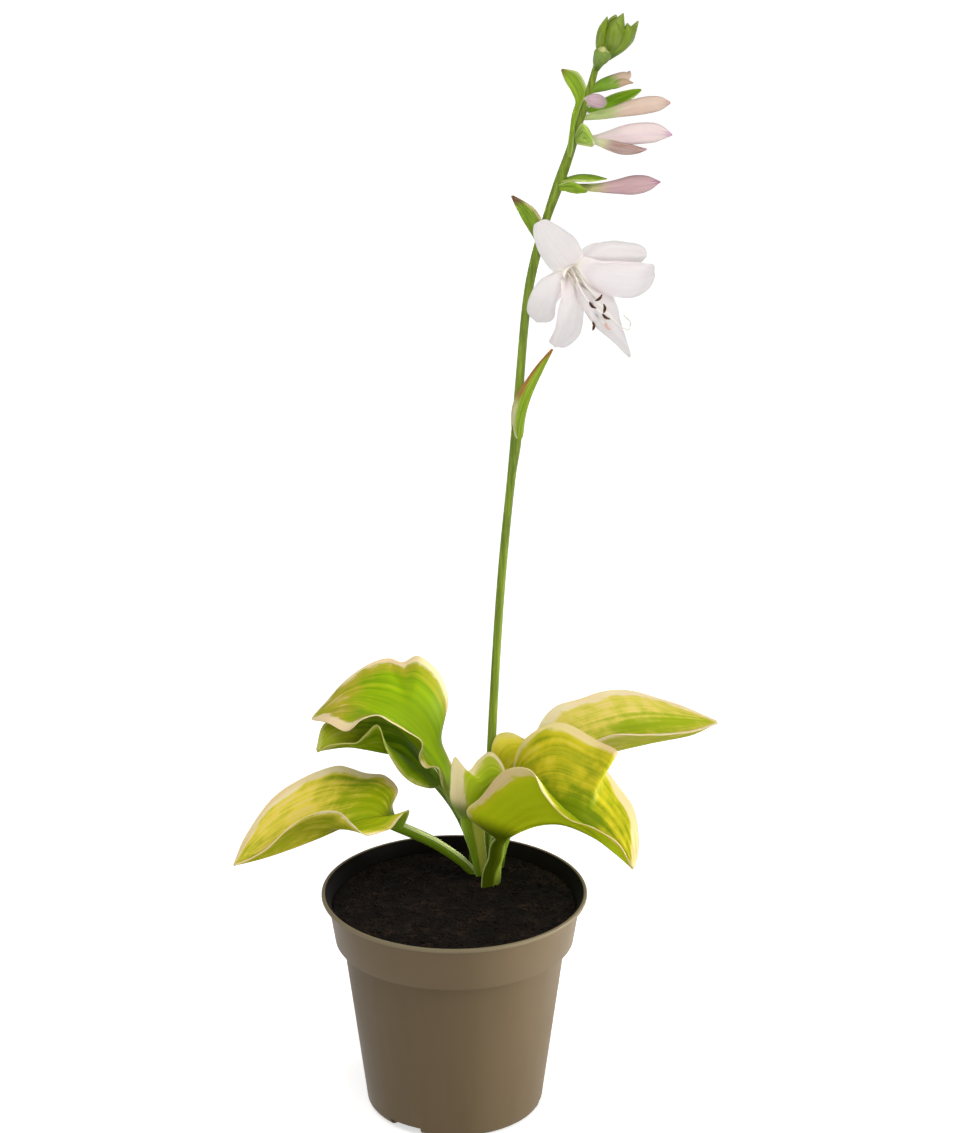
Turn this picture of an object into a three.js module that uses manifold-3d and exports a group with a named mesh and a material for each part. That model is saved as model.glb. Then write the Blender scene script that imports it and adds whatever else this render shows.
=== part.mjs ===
// A potted hosta in flower: a nursery pot of soil, seven waved leaves, and one flower stem with its
// bracts, buds, green tip and single open flower.
// Millimetres, +Z up. The origin is the middle of the pot's foot, and the plant is seen from the -Y side.
import * as THREE from 'three';
import * as BufferGeometryUtils from 'three/addons/utils/BufferGeometryUtils.js';
import Module from 'manifold-3d';

const wasm = await Module();
wasm.setup();

// Clearance that neighbouring pieces keep, and the growth of a faceted solid that leaves it
const GAP = 0.3;
const GROWTH = 0.34;

// Thinnest radius of a round stalk, the step that a direction is read over, and the limit of a sheet's mitre
const LEAST_RADIUS = 0.3;
const SLOPE_STEP = 0.01;
const LEAST_LEAN = 0.5;

// Colours and roughness of the pieces that have no entry of their own
const COLOR = {
  pot: 0x73624a,
  soil: 0x241a14,
  scape: 0x6e9130,
  tip: 0x7fae2e,
  bloom: 0xece4e4,
  anther: 0x4a3324,
};
const ROUGHNESS = { plastic: 0.5, soil: 0.95, green: 0.45, flower: 0.5, anther: 0.7 };

// Pot: foot, tapered body, ledge, wider band and rolled lip
const POT = {
  height: 113.5,
  lipRadius: 65,
  lipDepth: 2,
  lipWidth: 2.2,
  lipRound: 0.6,
  bandTopRadius: 62,
  bandFootRadius: 58.4,
  ledgeHeight: 88.4,
  bodyTopRadius: 54.5,
  footRadius: 43.5,
  footRound: 4,
  wall: 1.4,
  floor: 1.8,
  floorCorner: [[0, 3.2], [1.4, 0.8], [3.2, 0]],
  footRings: 3,
  sides: 44,
};
const NOTCH = {
  count: 3,
  width: 24,
  first: -124.5,
  height: 3.8,
  below: 1,
  innerRadius: 36,
  outerRadius: 48,
  sides: 4,
};

// Soil: its level at the wall and at the crown, the fall between the crown and the shoulder's radius, how
// deep the stems stand, and how far the cutters of their holes reach above it
const SOIL = { edge: 106.6, crown: 107.5, shoulder: 44, fall: 0.3, stemDepth: 13, holeTop: 2 };

// Waves: how far along an edge they are evened out, and how fast they fade from the edge to the rib
const WAVE = { reach: 0.1, fade: 2.2 };

// Leaves: blade and stalk thickness, and the columns across a blade from the right edge to the left edge.
// The stalk has opened into the blade at stalkUntil of the blade's length, and the tip is widened from
// spreadFrom on. baseAt and tipAt are the places where the directions across the base and the tip are read
const BLADE = {
  thickness: 0.8,
  ribThickness: 2.4,
  ribFade: 0.7,
  stalkRows: 6,
  stalkUntil: 0.25,
  baseAt: 0.12,
  tipAt: 0.9,
  tipSpread: 0.7,
  spreadFrom: 0.86,
  crease: 0.7,
};
const STALK = {
  ribThickness: 3.0,
  edgeThickness: 1.0,
  thinning: 1.5,
  channels: [0.6, 1.3],
  straight: 0.6,
  slotGap: 0.6,
  slotRound: 0.8,
  slotSides: 2,
};
const COLUMNS = [-1, -0.57, -0.14, 0, 0.14, 0.57, 1];

// Each leaf: where its stalk leaves the soil, the compass angle of its left edge there, half widths of the
// stalk at foot and top, the stalk's route, and the blade's rib and edges from the base to the tip. Some have
// their own channel depths at foot and top, and their own stalk thickness
const LEAVES = {
  leaf_a: {
    foot: [11.2, 40.6], turn: -90, halfWidths: [2.5, 3.2], belly: 2.5, rows: 22, color: 0x8fb822,
    stem: [[9.8, 38.5, 119.7], [5.6, 36, 131.8]],
    rib: [[-0.3, 33, 145.5], [-6.6, 32, 162.7], [-15, 32, 173.5], [-25, 31, 184.6], [-36, 29, 194],
      [-51, 28, 200], [-69.4, 25, 194.2]],
    left: [[-6, 30, 156.6], [-8.5, 27, 167.7], [-14.4, 23, 169], [-17.2, 20, 176], [-16, 16, 186],
      [-24.3, 12, 194], [-32, 8, 200.6], [-37.7, 7, 203.6], [-44.5, 8, 201], [-52.4, 10, 194.4],
      [-61.8, 17, 196]],
    right: [[0.2, 38, 154.6], [-3.8, 44, 165.4], [-7.3, 51, 174], [-3.3, 56, 189.3], [-7.7, 58, 204],
      [-17.6, 60, 212.8], [-25.4, 62, 208.5], [-33, 60, 211.7], [-43.6, 55, 209.6], [-55, 46, 203.8],
      [-64, 34, 197]],
  },
  leaf_b: {
    foot: [9.5, 47], turn: -80, halfWidths: [2.4, 3.0], belly: 2, rows: 18, color: 0x6f9a1e,
    stem: [[9, 46.5, 116.5], [1.8, 44, 135.8]],
    rib: [[-8.7, 40, 153.2], [-19.4, 34, 165.6], [-26.7, 29, 173.7], [-34, 25, 176.6], [-43.6, 21, 180],
      [-53.2, 18, 182.4], [-66.8, 15, 181.6]],
    left: [[-13.7, 32, 155.3], [-20.2, 25, 159.8], [-27, 18, 169.5], [-33, 11.5, 184], [-37.1, 10, 197.1],
      [-43.2, 11, 192], [-48, 12, 187], [-55.4, 12, 186.4], [-62.8, 13, 184.6]],
    right: [[-13.2, 46, 160.2], [-19, 50, 169.5], [-26, 50, 179.5], [-35.8, 47, 185.8], [-46.4, 41, 189.5],
      [-56, 33, 191.4], [-64.2, 25, 190.4]],
  },
  leaf_c: {
    foot: [7.5, 34.5], turn: -68, halfWidths: [3.2, 4.4], channels: [2.4, 3.2], stalkThickness: 2.6, belly: 3,
    rows: 20, color: 0x93ad24,
    stem: [[2.5, 31, 115], [-11, 24, 128]],
    rib: [[-28, 16, 140], [-39, 10, 148], [-51, 6, 147], [-65, 2, 142], [-80, -2, 137], [-93, -6, 134],
      [-107, -10, 132]],
    left: [[-24.8, 12, 150.6], [-30.4, 9, 143.6], [-34, 2, 144.5], [-43, -4, 145], [-49, -5, 151],
      [-56, -5, 158], [-67, -6, 158], [-79, -8, 152], [-92, -9, 139]],
    right: [[-30, 22, 146], [-28, 30, 154], [-34, 34, 160], [-43, 36, 160], [-51, 38, 162], [-60, 38, 163],
      [-75, 32, 159], [-90, 22, 152], [-102, 6, 139]],
  },
  leaf_d: {
    foot: [18, 19], turn: 22, halfWidths: [5, 5], channels: [0.8, 2], belly: 3, rows: 20, color: 0xa7bd1c,
    stem: [[18.8, 18.5, 115.3], [21, 17.5, 123.1]],
    rib: [[23.8, 13, 136.4], [37, 4, 147], [51.4, -6, 152.8], [65.7, -17, 151.5], [77, -25, 146.2],
      [86.2, -30, 139.6]],
    left: [[25.8, 25, 152.4], [31.2, 30, 174.4], [40.9, 28, 187.5], [53.6, 26, 191.6], [69.6, 20, 184.7],
      [79.1, 12, 182.4], [73.1, 20, 171.9], [78.9, 15, 164.5], [86.5, 4, 156.7], [89.1, -10, 149.8],
      [88.7, -22, 144.8]],
    right: [[8, 9, 151.4], [13.3, 3, 162.5], [24.2, -4, 179.2], [36.7, -9, 181.7], [43.4, -13, 170.8],
      [54, -18, 161], [67.9, -23, 157.5], [78.9, -27, 151.4]],
  },
  leaf_e: {
    foot: [22, 41], turn: 83, halfWidths: [2.6, 3.2], belly: 3, rows: 18, color: 0xc3bd3c,
    stem: [[24, 42, 119], [33, 45, 142]],
    rib: [[50, 45, 160], [64, 45, 165], [78, 44, 169], [96, 42, 174], [116, 38, 180], [129, 35, 188]],
    left: [[41, 56, 167], [43, 62, 176], [50, 66, 183], [61, 68, 186], [72, 70, 189], [85, 68, 191],
      [98, 62, 190], [113, 52, 189]],
    right: [[59, 38, 171], [69, 34, 178], [78, 32, 183], [91, 32, 182], [105, 33, 182], [118, 34, 184]],
  },
  leaf_f: {
    foot: [20, 29], turn: 108, halfWidths: [2.2, 2.6], belly: 1.5, rows: 14, color: 0xa9b025,
    stem: [[22, 30, 121], [24, 31, 137]],
    rib: [[25, 32, 150.6], [31, 33.5, 155], [40, 34, 160.2], [49, 34, 163.6], [62, 33, 164]],
    left: [[19, 35, 160], [18, 37, 172], [21, 38, 180], [28, 38.5, 181], [36, 38, 177], [46, 37, 175]],
    right: [[29.5, 29, 154.6], [37, 29.5, 158.6], [47, 30.5, 161]],
  },
  leaf_g: {
    foot: [13.5, 28], turn: 174, halfWidths: [2.8, 6.3], belly: 1.5, rows: 14, color: 0xb9bf5a,
    stem: [[11.5, 28.5, 122], [9.6, 28, 132]],
    rib: [[9, 27, 141.2], [12.5, 27, 150], [17.5, 26, 157.4], [22, 22, 161.3], [26.2, 17, 162]],
    left: [[0.8, 20, 153], [-1.6, 20, 166.5], [0.3, 24, 174.4], [6.2, 28, 165], [12, 30, 170.6],
      [18, 29, 174.8], [23.3, 24, 171]],
    right: [[14.5, 20, 145.5], [19.4, 17, 150.2], [23.8, 16, 155]],
  },
};

// Flower stem: its route with the radius at each point, thicker at the nodes
const SCAPE = {
  sides: 8,
  ringsPerSpan: 2,
  foot: [16, 40, 94],
  holeGap: 0.4,
  holeSides: 12,
  route: [
    [16, 40, 107, 2.3], [18, 41, 169.5, 2.2], [20.9, 41, 229.3, 2.1], [23.7, 40, 271.6, 2.1],
    [27.5, 39, 313.4, 2.1], [29.9, 38, 336, 2.7], [31.9, 37, 370, 2.1], [34.9, 36, 405.3, 2.1],
    [39, 35, 427.9, 2.2], [44.1, 34, 446.9, 2.0], [49.6, 34, 463.5, 2.5], [54.6, 33, 478.8, 2.2],
    [58.2, 32, 492.1, 2.0], [61.4, 31, 502, 1.9], [64.1, 31, 511.6, 1.7], [66.7, 30, 521.4, 1.5],
    [69.6, 30, 527.5, 1.4],
  ],
};

// Petals and bracts: where the directions across base and tip are read, and where the widened base ends and
// the widened tip starts. Bracts: rib and edges from base to tip, in the same way as a leaf's
const SMALL_BLADE = { baseAt: 0.2, tipAt: 0.85, baseUntil: 0.3, spreadFrom: 0.75 };
const BRACT = {
  thickness: 0.8,
  belly: 0.4,
  rows: 8,
  columns: [-1, -0.5, 0, 0.5, 1],
  baseHalfWidth: 1.2,
  tipHalfWidth: 0.5,
};
const BRACTS = {
  bract_lower: {
    rib: [[31.3, 34.5, 336], [32.2, 33, 346.5], [35.4, 31.5, 359.2], [40.6, 30.5, 371.6], [46.9, 30, 382.9]],
    left: [[27.9, 38, 342.3], [28.2, 35.5, 352.7], [31.6, 32.4, 361.7], [38.6, 31, 373]],
    right: [[33.2, 38, 340.3], [34.8, 35.4, 352.4], [38.6, 33, 363.6], [43, 31.4, 373.4]],
    color: 0x8aa23a,
  },
  bract_bloom: {
    rib: [[40.4, 34, 433.1], [37, 32, 443.1], [32.3, 31, 451.2], [27.6, 30, 458.4]],
    left: [[37.5, 33, 437.9], [33.3, 32, 445.1], [29.5, 31, 453.2]],
    right: [[42.6, 30, 442.3], [40.7, 29, 448.9], [36, 29, 454.3]],
    color: 0x8fae35,
  },
  bract_bud_1_upper: {
    rib: [[50, 34, 464.5], [58.4, 32, 467.4], [64.9, 31, 467.6], [71.9, 30, 466.5]],
    left: [[56, 36, 465.5], [64, 35, 466]],
    right: [[56, 28, 466], [64, 27, 466]],
    color: 0x8db52f,
  },
  bract_bud_1_front: {
    rib: [[49.4, 32.4, 461.6], [54.2, 26.6, 464], [58.3, 25.2, 463.6], [62.5, 24.8, 462]],
    left: [[52.8, 27, 466.2], [57.8, 25.8, 465.8]],
    right: [[53.3, 28, 461], [58.3, 26, 460.8]],
    color: 0x8db52f,
  },
  bract_bud_2: {
    rib: [[57, 31, 485], [60, 26, 489.5], [61.5, 23.5, 491], [66, 22.5, 485.5]],
    left: [[57.8, 28, 490.5], [60.4, 25, 495], [64, 23.5, 491]],
    right: [[58.6, 27.5, 484], [61.5, 24.5, 484.2], [64.5, 23, 484.2]],
    color: 0x92b83a,
  },
  bract_bud_3: {
    rib: [[62.6, 33, 498.3], [71.2, 35.5, 501], [79.1, 36, 503.9], [87.6, 36, 507.9]],
    left: [[68.6, 38, 502.2], [76.4, 38.5, 505.9], [83, 38, 507.5]],
    right: [[69.4, 32.5, 498.8], [76.7, 33, 500.5], [83.7, 34, 504.3]],
    color: 0x86b428,
  },
  bract_left: {
    rib: [[54.3, 30.6, 477.1], [55.1, 30.2, 483], [56, 29.8, 490.8], [57, 29.6, 497.6],
      [58.4, 30, 503.2], [58.1, 31.5, 507.1], [55.1, 34, 512.2], [50.6, 37, 517.4]],
    left: [[53.8, 30.8, 482.3], [54.6, 30.4, 491.1], [55.6, 30.2, 498.4], [57.2, 31, 503.9],
      [54.9, 33, 508.1], [52.2, 35.5, 512.5]],
    right: [[55.7, 29.4, 482.7], [56.7, 29, 491.5], [58.3, 29, 498.7], [59.9, 29.6, 503.6],
      [62.4, 31.5, 508.8], [58.3, 34, 516.5]],
    baseHalfWidth: 0.5,
    color: 0x8cb634,
  },
};

// Buds: route of the middle line with the radius at each point, from inside the stem to the tip
const BUD = { sides: 8, scaleSides: 6, ringsPerSpan: 2 };
const BUDS = {
  bud_1: {
    color: 0xe3cbd2,
    routes: [[[50.1, 34, 462, 1.2], [59.4, 32, 462.1, 1.6], [68, 30.5, 462.2, 2.2], [76, 29.5, 463, 3.4],
      [84, 29, 464, 4.6], [91, 29, 464.8, 3.6], [96.6, 29, 465.5, 0.4]]],
  },
  bud_2: {
    color: 0xecd9de,
    routes: [
      [[57.3, 32, 486.3, 1.2], [64.7, 28.5, 486.5, 1.6], [72, 27, 488, 2.6], [80, 25.5, 489.4, 4.6],
        [88, 24.5, 490.4, 5.0], [95, 23.5, 490.8, 4.2], [101.4, 23, 490, 0.6]],
      [[66, 27, 485.8, 1.5], [73, 24.5, 484.6, 2.7], [79, 23.2, 483.4, 3.0], [85, 22.6, 482.9, 2.0],
        [90, 22.4, 483.2, 0.4]],
    ],
  },
  bud_3: {
    color: 0xe4c8b4,
    routes: [[[60.5, 32, 495.5, 1.2], [68.4, 31, 497, 2.0], [75, 31, 498.6, 2.7], [82, 31, 500.4, 3.7],
      [90, 31, 502, 4.1], [96.4, 31, 502.8, 3.2], [100.5, 31, 503, 0.8]]],
  },
  bud_4: {
    color: 0xd9bcc4,
    routes: [[[61.6, 31, 502.5, 1.2], [68.6, 26, 504.4, 2.2], [67.3, 21, 506.5, 3.3],
      [64.7, 18.4, 507.9, 3.2], [62.2, 17.4, 508.7, 1.6], [60.8, 17.2, 508.9, 0.4]]],
  },
  bud_5: {
    color: 0xb8b878,
    routes: [[[64.1, 31, 508.6, 1.2], [68.7, 31.8, 510.9, 2.8], [73.8, 32.6, 512.6, 3.3],
      [78.4, 33.4, 514.2, 3], [81.2, 34, 515.7, 1.8], [82, 34, 517.3, 0.4]],
    [[71, 32, 511, 1.6], [74.3, 31.8, 512, 2.6], [77.9, 31.6, 512.9, 2.4], [81.2, 31.4, 512.8, 1.2],
      [83.5, 31.2, 512.5, 0.3]]],
  },
  bud_6: {
    color: 0x8db83a,
    routes: [[[66.6, 30, 519.2, 1.2], [67.4, 27.4, 523.5, 2.8], [68.5, 26.4, 526.1, 3.9],
      [69.3, 26.2, 528.3, 4], [69.6, 26.2, 529.8, 2.2]]],
  },
};

// Green tip: pointed scales that overlap around the end of the flower stem
const TIP_SCALES = [
  [[69.4, 30, 524.8, 1.8], [73.4, 29, 532, 4.4], [75.4, 28.6, 538.6, 4.6], [78.5, 28.6, 546.1, 0.4]],
  [[68.4, 30.4, 526, 1.6], [68.8, 29.4, 532.4, 3], [69.4, 28.2, 538.4, 2.6], [71.1, 28, 544.6, 0.4]],
  [[71.6, 30, 525, 1.8], [77.4, 29, 531.4, 3.4], [80.6, 28.4, 537, 3], [80.5, 28.4, 541.5, 0.4]],
  [[73, 31, 526, 1.6], [80, 32.4, 531.8, 2.6], [82.8, 32.8, 536.6, 2], [85.5, 33, 541.3, 0.4]],
  [[70, 32, 526, 1.6], [71, 34.4, 533, 2.8], [73.4, 34, 540, 2.4], [75.1, 31.5, 544.2, 0.8]],
  [[71.9, 27.5, 529.2, 1.6], [73.7, 25.6, 533.3, 3.1], [74.5, 24.8, 537.5, 3.6], [74.9, 25.2, 540.8, 2.4],
    [75.1, 25.8, 542.6, 0.5]],
];

// Open flower: tube, six petals around the throat, filaments, anthers and the hooked style
const BLOOM = {
  thickness: 0.7,
  belly: 0.3,
  rows: 6,
  columns: [-1, -0.5, 0, 0.5, 1],
  sides: 10,
  baseHalfWidth: 3,
  tipHalfWidth: 0.6,
  throat: [55.9, 8, 428.2],
  throatRadius: 4.9,
  petalDepth: 1.2,
  tubeRings: 2,
  tube: [[41.3, 35, 435.3, 1.3], [44.6, 30, 434, 1.6], [50, 20, 431.4, 3.2], [55.9, 8, 428.2, 5.5]],
  hollow: [[49, 22, 431.9, 0.4], [52.5, 15, 430, 2.4], [55.9, 8, 428.2, 4.7], [56.8, 6.3, 427.7, 5.2]],
  petals: [
    {
      rib: [[54.5, 6, 431.8], [49.7, 1, 440.2], [44.1, 1, 448.4], [40.4, 5, 453.9]],
      left: [[46.6, 5, 430.2], [40.9, 2, 437.9], [37.6, 2, 446.6], [37.6, 4, 451.8]],
      right: [[59.9, 2, 437.4], [57, -1, 446.6], [50.5, 0, 452.1], [44.1, 3, 455]],
    },
    {
      rib: [[52.7, 7, 426.6], [46.1, 2, 422.9], [41, 2, 415.1], [39.3, 6, 404.4]],
      left: [[47, 5, 428.7], [41, 3, 426.4], [36.4, 3, 419.6], [34.6, 5, 410.2]],
      right: [[52.6, 3, 421.1], [48.4, 1, 415.4], [47.6, 2, 409.2], [45.3, 5, 404.8]],
    },
    {
      rib: [[54.5, 6, 425.5], [54.4, -2, 417.8], [52.6, -4, 407.8], [47.6, 0, 394.2]],
      left: [[51.2, 0, 422.1], [48.9, -3, 413.3], [47.1, -3, 403.5], [44.8, -1, 397.5]],
      right: [[59.5, 0, 422.1], [60.9, -3, 412.3], [59.2, -3, 401.6], [53.2, -1, 395]],
    },
    {
      rib: [[60, 0, 424], [66.3, -8, 416.4], [73.7, -12, 407], [82.2, -12, 393.4]],
      left: [[60.4, -5, 415.9], [65.5, -9, 408], [73.8, -12, 401.2]],
      right: [[71, -5, 423.2], [76.1, -8, 417.4], [77.9, -11, 410.1], [80.7, -12, 401.2]],
    },
    {
      rib: [[61.8, 0, 431.8], [72.7, -6, 429.8], [84.2, -8, 430], [93.6, -4, 430.6]],
      left: [[68.1, -4, 436.9], [79.6, -6, 437.6], [88.8, -5, 436.8], [93.1, -4, 435.5]],
      right: [[67.3, -4, 423.4], [75.1, -8, 421.3], [84.3, -9, 421.6], [91.2, -7, 425.8]],
    },
    {
      rib: [[60.5, 5, 434.1], [70.5, 2, 439.9], [81.1, 1, 440.7], [90, 3, 438.1]],
      left: [[64.6, 6, 442], [72.9, 5, 444.2], [82.1, 4, 444.1], [88.2, 4, 441.7]],
      right: [[68.3, 2, 433.6], [79.8, 0, 432.8], [86.8, 1, 434.9]],
    },
  ],
  style: [[50, 20, 431, 0.6], [58, 4, 425.6, 0.55], [68.1, -11, 418.4, 0.55], [77.3, -15, 409.5, 0.5],
    [81.5, -15, 408, 0.5], [82, -14, 411.1, 0.5], [79.2, -13, 414.2, 0.6]],
  filamentRoot: [47.2, 25.4, 432.7],
  filamentRootSpread: 1.2,
  filamentRadius: 0.45,
  filamentSpread: 2.2,
  filamentSag: 2,
  filamentSides: 4,
};

// Anthers: middle point, the direction that each lies in, and its filament's compass angle in the throat.
// The outline gives the share of the radius at each share of the length
const ANTHER = {
  length: 3.6,
  radius: 0.8,
  sides: 6,
  slack: 0.15,
  outline: [[-0.5, 0.35], [-0.3, 0.9], [0.1, 1], [0.5, 0.4]],
};
const ANTHERS = [
  { at: [67.7, -16, 423.2], along: [1, 0, 1], root: 60 },
  { at: [64.3, -14, 418.9], along: [0.7, 0, -0.7], root: 120 },
  { at: [70.2, -18, 419], along: [0, 0, 1], root: 10 },
  { at: [70.5, -18, 414.7], along: [0.8, 0, -0.6], root: -50 },
  { at: [65.4, -12, 408.5], along: [0, 0, 1], root: 200 },
  { at: [71.3, -16, 409.4], along: [0.6, 0, -0.8], root: 260 },
];

const vector = (values) => new THREE.Vector3(values[0], values[1], values[2]);
const smooth = (low, high, value) => THREE.MathUtils.smoothstep(value, low, high);
const curve = (points) => new THREE.CatmullRomCurve3(points.map(vector), false, 'catmullrom', 0.5);

/** Joins shared corners, drops faces without area and turns the faces outward. */
function closed(geometry) {
  const bare = new THREE.BufferGeometry();
  bare.setAttribute('position', geometry.getAttribute('position').clone());
  if (geometry.index) bare.setIndex(Array.from(geometry.index.array));
  const merged = BufferGeometryUtils.mergeVertices(bare, 1e-4);
  const points = merged.getAttribute('position');
  const [a, b, c] = [new THREE.Vector3(), new THREE.Vector3(), new THREE.Vector3()];
  const faces = [];
  let volume = 0;
  for (let k = 0; k < merged.index.count; k += 3) {
    const [i, j, l] = [0, 1, 2].map((step) => merged.index.getX(k + step));
    if (i === j || j === l || l === i) continue;
    faces.push([i, j, l]);
    a.fromBufferAttribute(points, i);
    b.fromBufferAttribute(points, j);
    c.fromBufferAttribute(points, l);
    volume += a.dot(b.cross(c));
  }
  merged.setIndex((volume < 0 ? faces.map((face) => face.reverse()) : faces).flat());
  return merged;
}

/** A boolean solid from a closed geometry. */
function toSolid(geometry) {
  const body = closed(geometry);
  const vertProperties = new Float32Array(body.getAttribute('position').array);
  const triVerts = new Uint32Array(body.index.array);
  return new wasm.Manifold(new wasm.Mesh({ numProp: 3, vertProperties, triVerts }));
}

/** The geometry of the largest part of a boolean solid. */
function toGeometry(solid) {
  const largest = solid.decompose().reduce((best, part) => (part.volume() > best.volume() ? part : best));
  const result = largest.getMesh();
  const geometry = new THREE.BufferGeometry();
  geometry.setAttribute('position', new THREE.BufferAttribute(result.vertProperties, 3));
  geometry.setIndex(new THREE.BufferAttribute(result.triVerts, 1));
  return geometry;
}

/** Turns a profile of [radius, height] points into a solid of revolution about Z. */
function turned(profile, sides) {
  const points = profile.map(([radius, height]) => new THREE.Vector2(radius, height));
  const lathe = new THREE.LatheGeometry(points, sides);
  lathe.rotateX(Math.PI / 2);
  return lathe;
}

/**
 * A thin waved solid over a grid of middle points. Each row runs from the right edge to the left edge, and
 * upper and lower give the distance from the middle to each face. Both faces are split alike.
 */
function sheet(rows, upper, lower) {
  const rowCount = rows.length;
  const width = rows[0].length;
  const within = (value, count) => THREE.MathUtils.clamp(value, 0, count - 1);
  const at = (i, j) => rows[within(i, rowCount)][within(j, width)];
  const normal = (i, j, right, left) => {
    const along = at(i + 1, j).clone().sub(at(i - 1, j));
    const across = at(i, left).clone().sub(at(i, right));
    return along.cross(across).normalize();
  };
  const top = [];
  const bottom = [];
  for (let i = 0; i < rowCount; i += 1) {
    for (let j = 0; j < width; j += 1) {
      const middle = normal(i, j, j - 1, j + 1);
      const sides = [];
      if (j > 0) sides.push(normal(i, j, j - 1, j));
      if (j < width - 1) sides.push(normal(i, j, j, j + 1));
      const lean = sides.reduce((sum, side) => sum + middle.dot(side), 0) / sides.length;
      const mitre = 1 / Math.max(lean, LEAST_LEAN);
      top.push(at(i, j).clone().addScaledVector(middle, upper(i, j) * mitre));
      bottom.push(at(i, j).clone().addScaledVector(middle, -lower(i, j) * mitre));
    }
  }
  const corner = (i, j) => i * width + j;
  const below = rowCount * width;
  const faces = [];
  for (let i = 0; i < rowCount - 1; i += 1) {
    for (let j = 0; j < width - 1; j += 1) {
      const [p, q, r, s] = [corner(i, j), corner(i + 1, j), corner(i + 1, j + 1), corner(i, j + 1)];
      const direct = at(i, j).distanceTo(at(i + 1, j + 1)) <= at(i + 1, j).distanceTo(at(i, j + 1));
      const halves = direct ? [[p, q, r], [p, r, s]] : [[p, q, s], [q, r, s]];
      for (const [a, b, c] of halves) faces.push([a, b, c], [below + a, below + c, below + b]);
    }
  }
  const rim = [];
  for (let i = 0; i < rowCount - 1; i += 1) rim.push(corner(i, 0));
  for (let j = 0; j < width - 1; j += 1) rim.push(corner(rowCount - 1, j));
  for (let i = rowCount - 1; i > 0; i -= 1) rim.push(corner(i, width - 1));
  for (let j = width - 1; j > 0; j -= 1) rim.push(corner(0, j));
  rim.forEach((from, k) => {
    const to = rim[(k + 1) % rim.length];
    faces.push([from, below + from, below + to], [from, below + to, to]);
  });
  const geometry = new THREE.BufferGeometry().setFromPoints([...top, ...bottom]);
  geometry.setIndex(faces.flat());
  return geometry;
}

/** A round solid along stations of { at, radius }, closed by a flat fan at each end. */
function skin(stations, sides) {
  const points = [];
  const faces = [];
  let side = null;
  stations.forEach((station, i) => {
    const before = stations[Math.max(i - 1, 0)].at;
    const after = stations[Math.min(i + 1, stations.length - 1)].at;
    const along = after.clone().sub(before).normalize();
    if (!side) side = Math.abs(along.z) < 0.8 ? new THREE.Vector3(0, 0, 1) : new THREE.Vector3(0, 1, 0);
    side.addScaledVector(along, -side.dot(along)).normalize();
    const other = along.clone().cross(side);
    for (let k = 0; k < sides; k += 1) {
      const angle = (2 * Math.PI * k) / sides;
      points.push(station.at.clone()
        .addScaledVector(side, station.radius * Math.cos(angle))
        .addScaledVector(other, station.radius * Math.sin(angle)));
    }
  });
  for (let i = 0; i < stations.length - 1; i += 1) {
    for (let k = 0; k < sides; k += 1) {
      const [p, q] = [i * sides + k, i * sides + ((k + 1) % sides)];
      faces.push([p, q, q + sides], [p, q + sides, p + sides]);
    }
  }
  const last = (stations.length - 1) * sides;
  points.push(stations[0].at.clone(), stations[stations.length - 1].at.clone());
  for (let k = 0; k < sides; k += 1) {
    const next = (k + 1) % sides;
    faces.push([points.length - 2, next, k], [points.length - 1, last + k, last + next]);
  }
  const geometry = new THREE.BufferGeometry().setFromPoints(points);
  geometry.setIndex(faces.flat());
  return geometry;
}

/** Stations along a smooth route of [x, y, z, radius] points, grown all round by a clearance. */
function stationsAlong(route, ringsPerSpan, grow = 0) {
  const path = curve(route);
  const radii = curve(route.map(([, , , radius]) => [radius, 0, 0]));
  const count = (route.length - 1) * ringsPerSpan;
  const stations = Array.from({ length: count + 1 }, (_, k) => ({
    at: path.getPoint(k / count),
    radius: Math.max(radii.getPoint(k / count).x, LEAST_RADIUS) + grow,
  }));
  stations[0].at.addScaledVector(path.getTangent(0), -grow);
  stations[count].at.addScaledVector(path.getTangent(1), grow);
  return stations;
}

/** A point of an edge with its waves evened out over a reach to either side. */
function calmPoint(edge, u) {
  const reach = Math.min(WAVE.reach, u, 1 - u);
  const around = edge.getPoint(u - reach).add(edge.getPoint(u + reach));
  return around.addScaledVector(edge.getPoint(u), 2).divideScalar(4);
}

/**
 * A point of a waved blade, at u from base to tip and v from the right edge to the left edge. A crease of 1
 * rules each half straight from the rib to its calm edge, and a crease of 0 bends one curve through all
 * three. The waves of the edge fade towards the rib.
 */
function bladePoint(rib, left, right, belly, crease, u, v) {
  const middle = rib(u);
  const edge = v < 0 ? right : left;
  const calm = calmPoint(edge, u);
  const span = calm.clone().sub(middle);
  const wave = edge.getPoint(u).sub(calm);
  const rounded = calmPoint(left, u).multiplyScalar((v * v + v) / 2)
    .addScaledVector(calmPoint(right, u), (v * v - v) / 2)
    .addScaledVector(middle, 1 - v * v);
  const along = rib(Math.min(u + SLOPE_STEP, 1)).clone().sub(rib(Math.max(u - SLOPE_STEP, 0)));
  const lift = along.cross(span).multiplyScalar(v < 0 ? -1 : 1).normalize();
  const t = Math.abs(v);
  const swell = belly * 4 * t * (1 - t) * Math.sin(Math.PI * u);
  return middle.clone().addScaledVector(span, t).lerp(rounded, 1 - crease)
    .addScaledVector(wave, t ** WAVE.fade)
    .addScaledVector(lift, swell);
}

/** The direction across a stalk or blade, square to the way it runs. */
function squareTo(along, across) {
  return across.clone().addScaledVector(along, -across.dot(along)).normalize();
}

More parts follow.
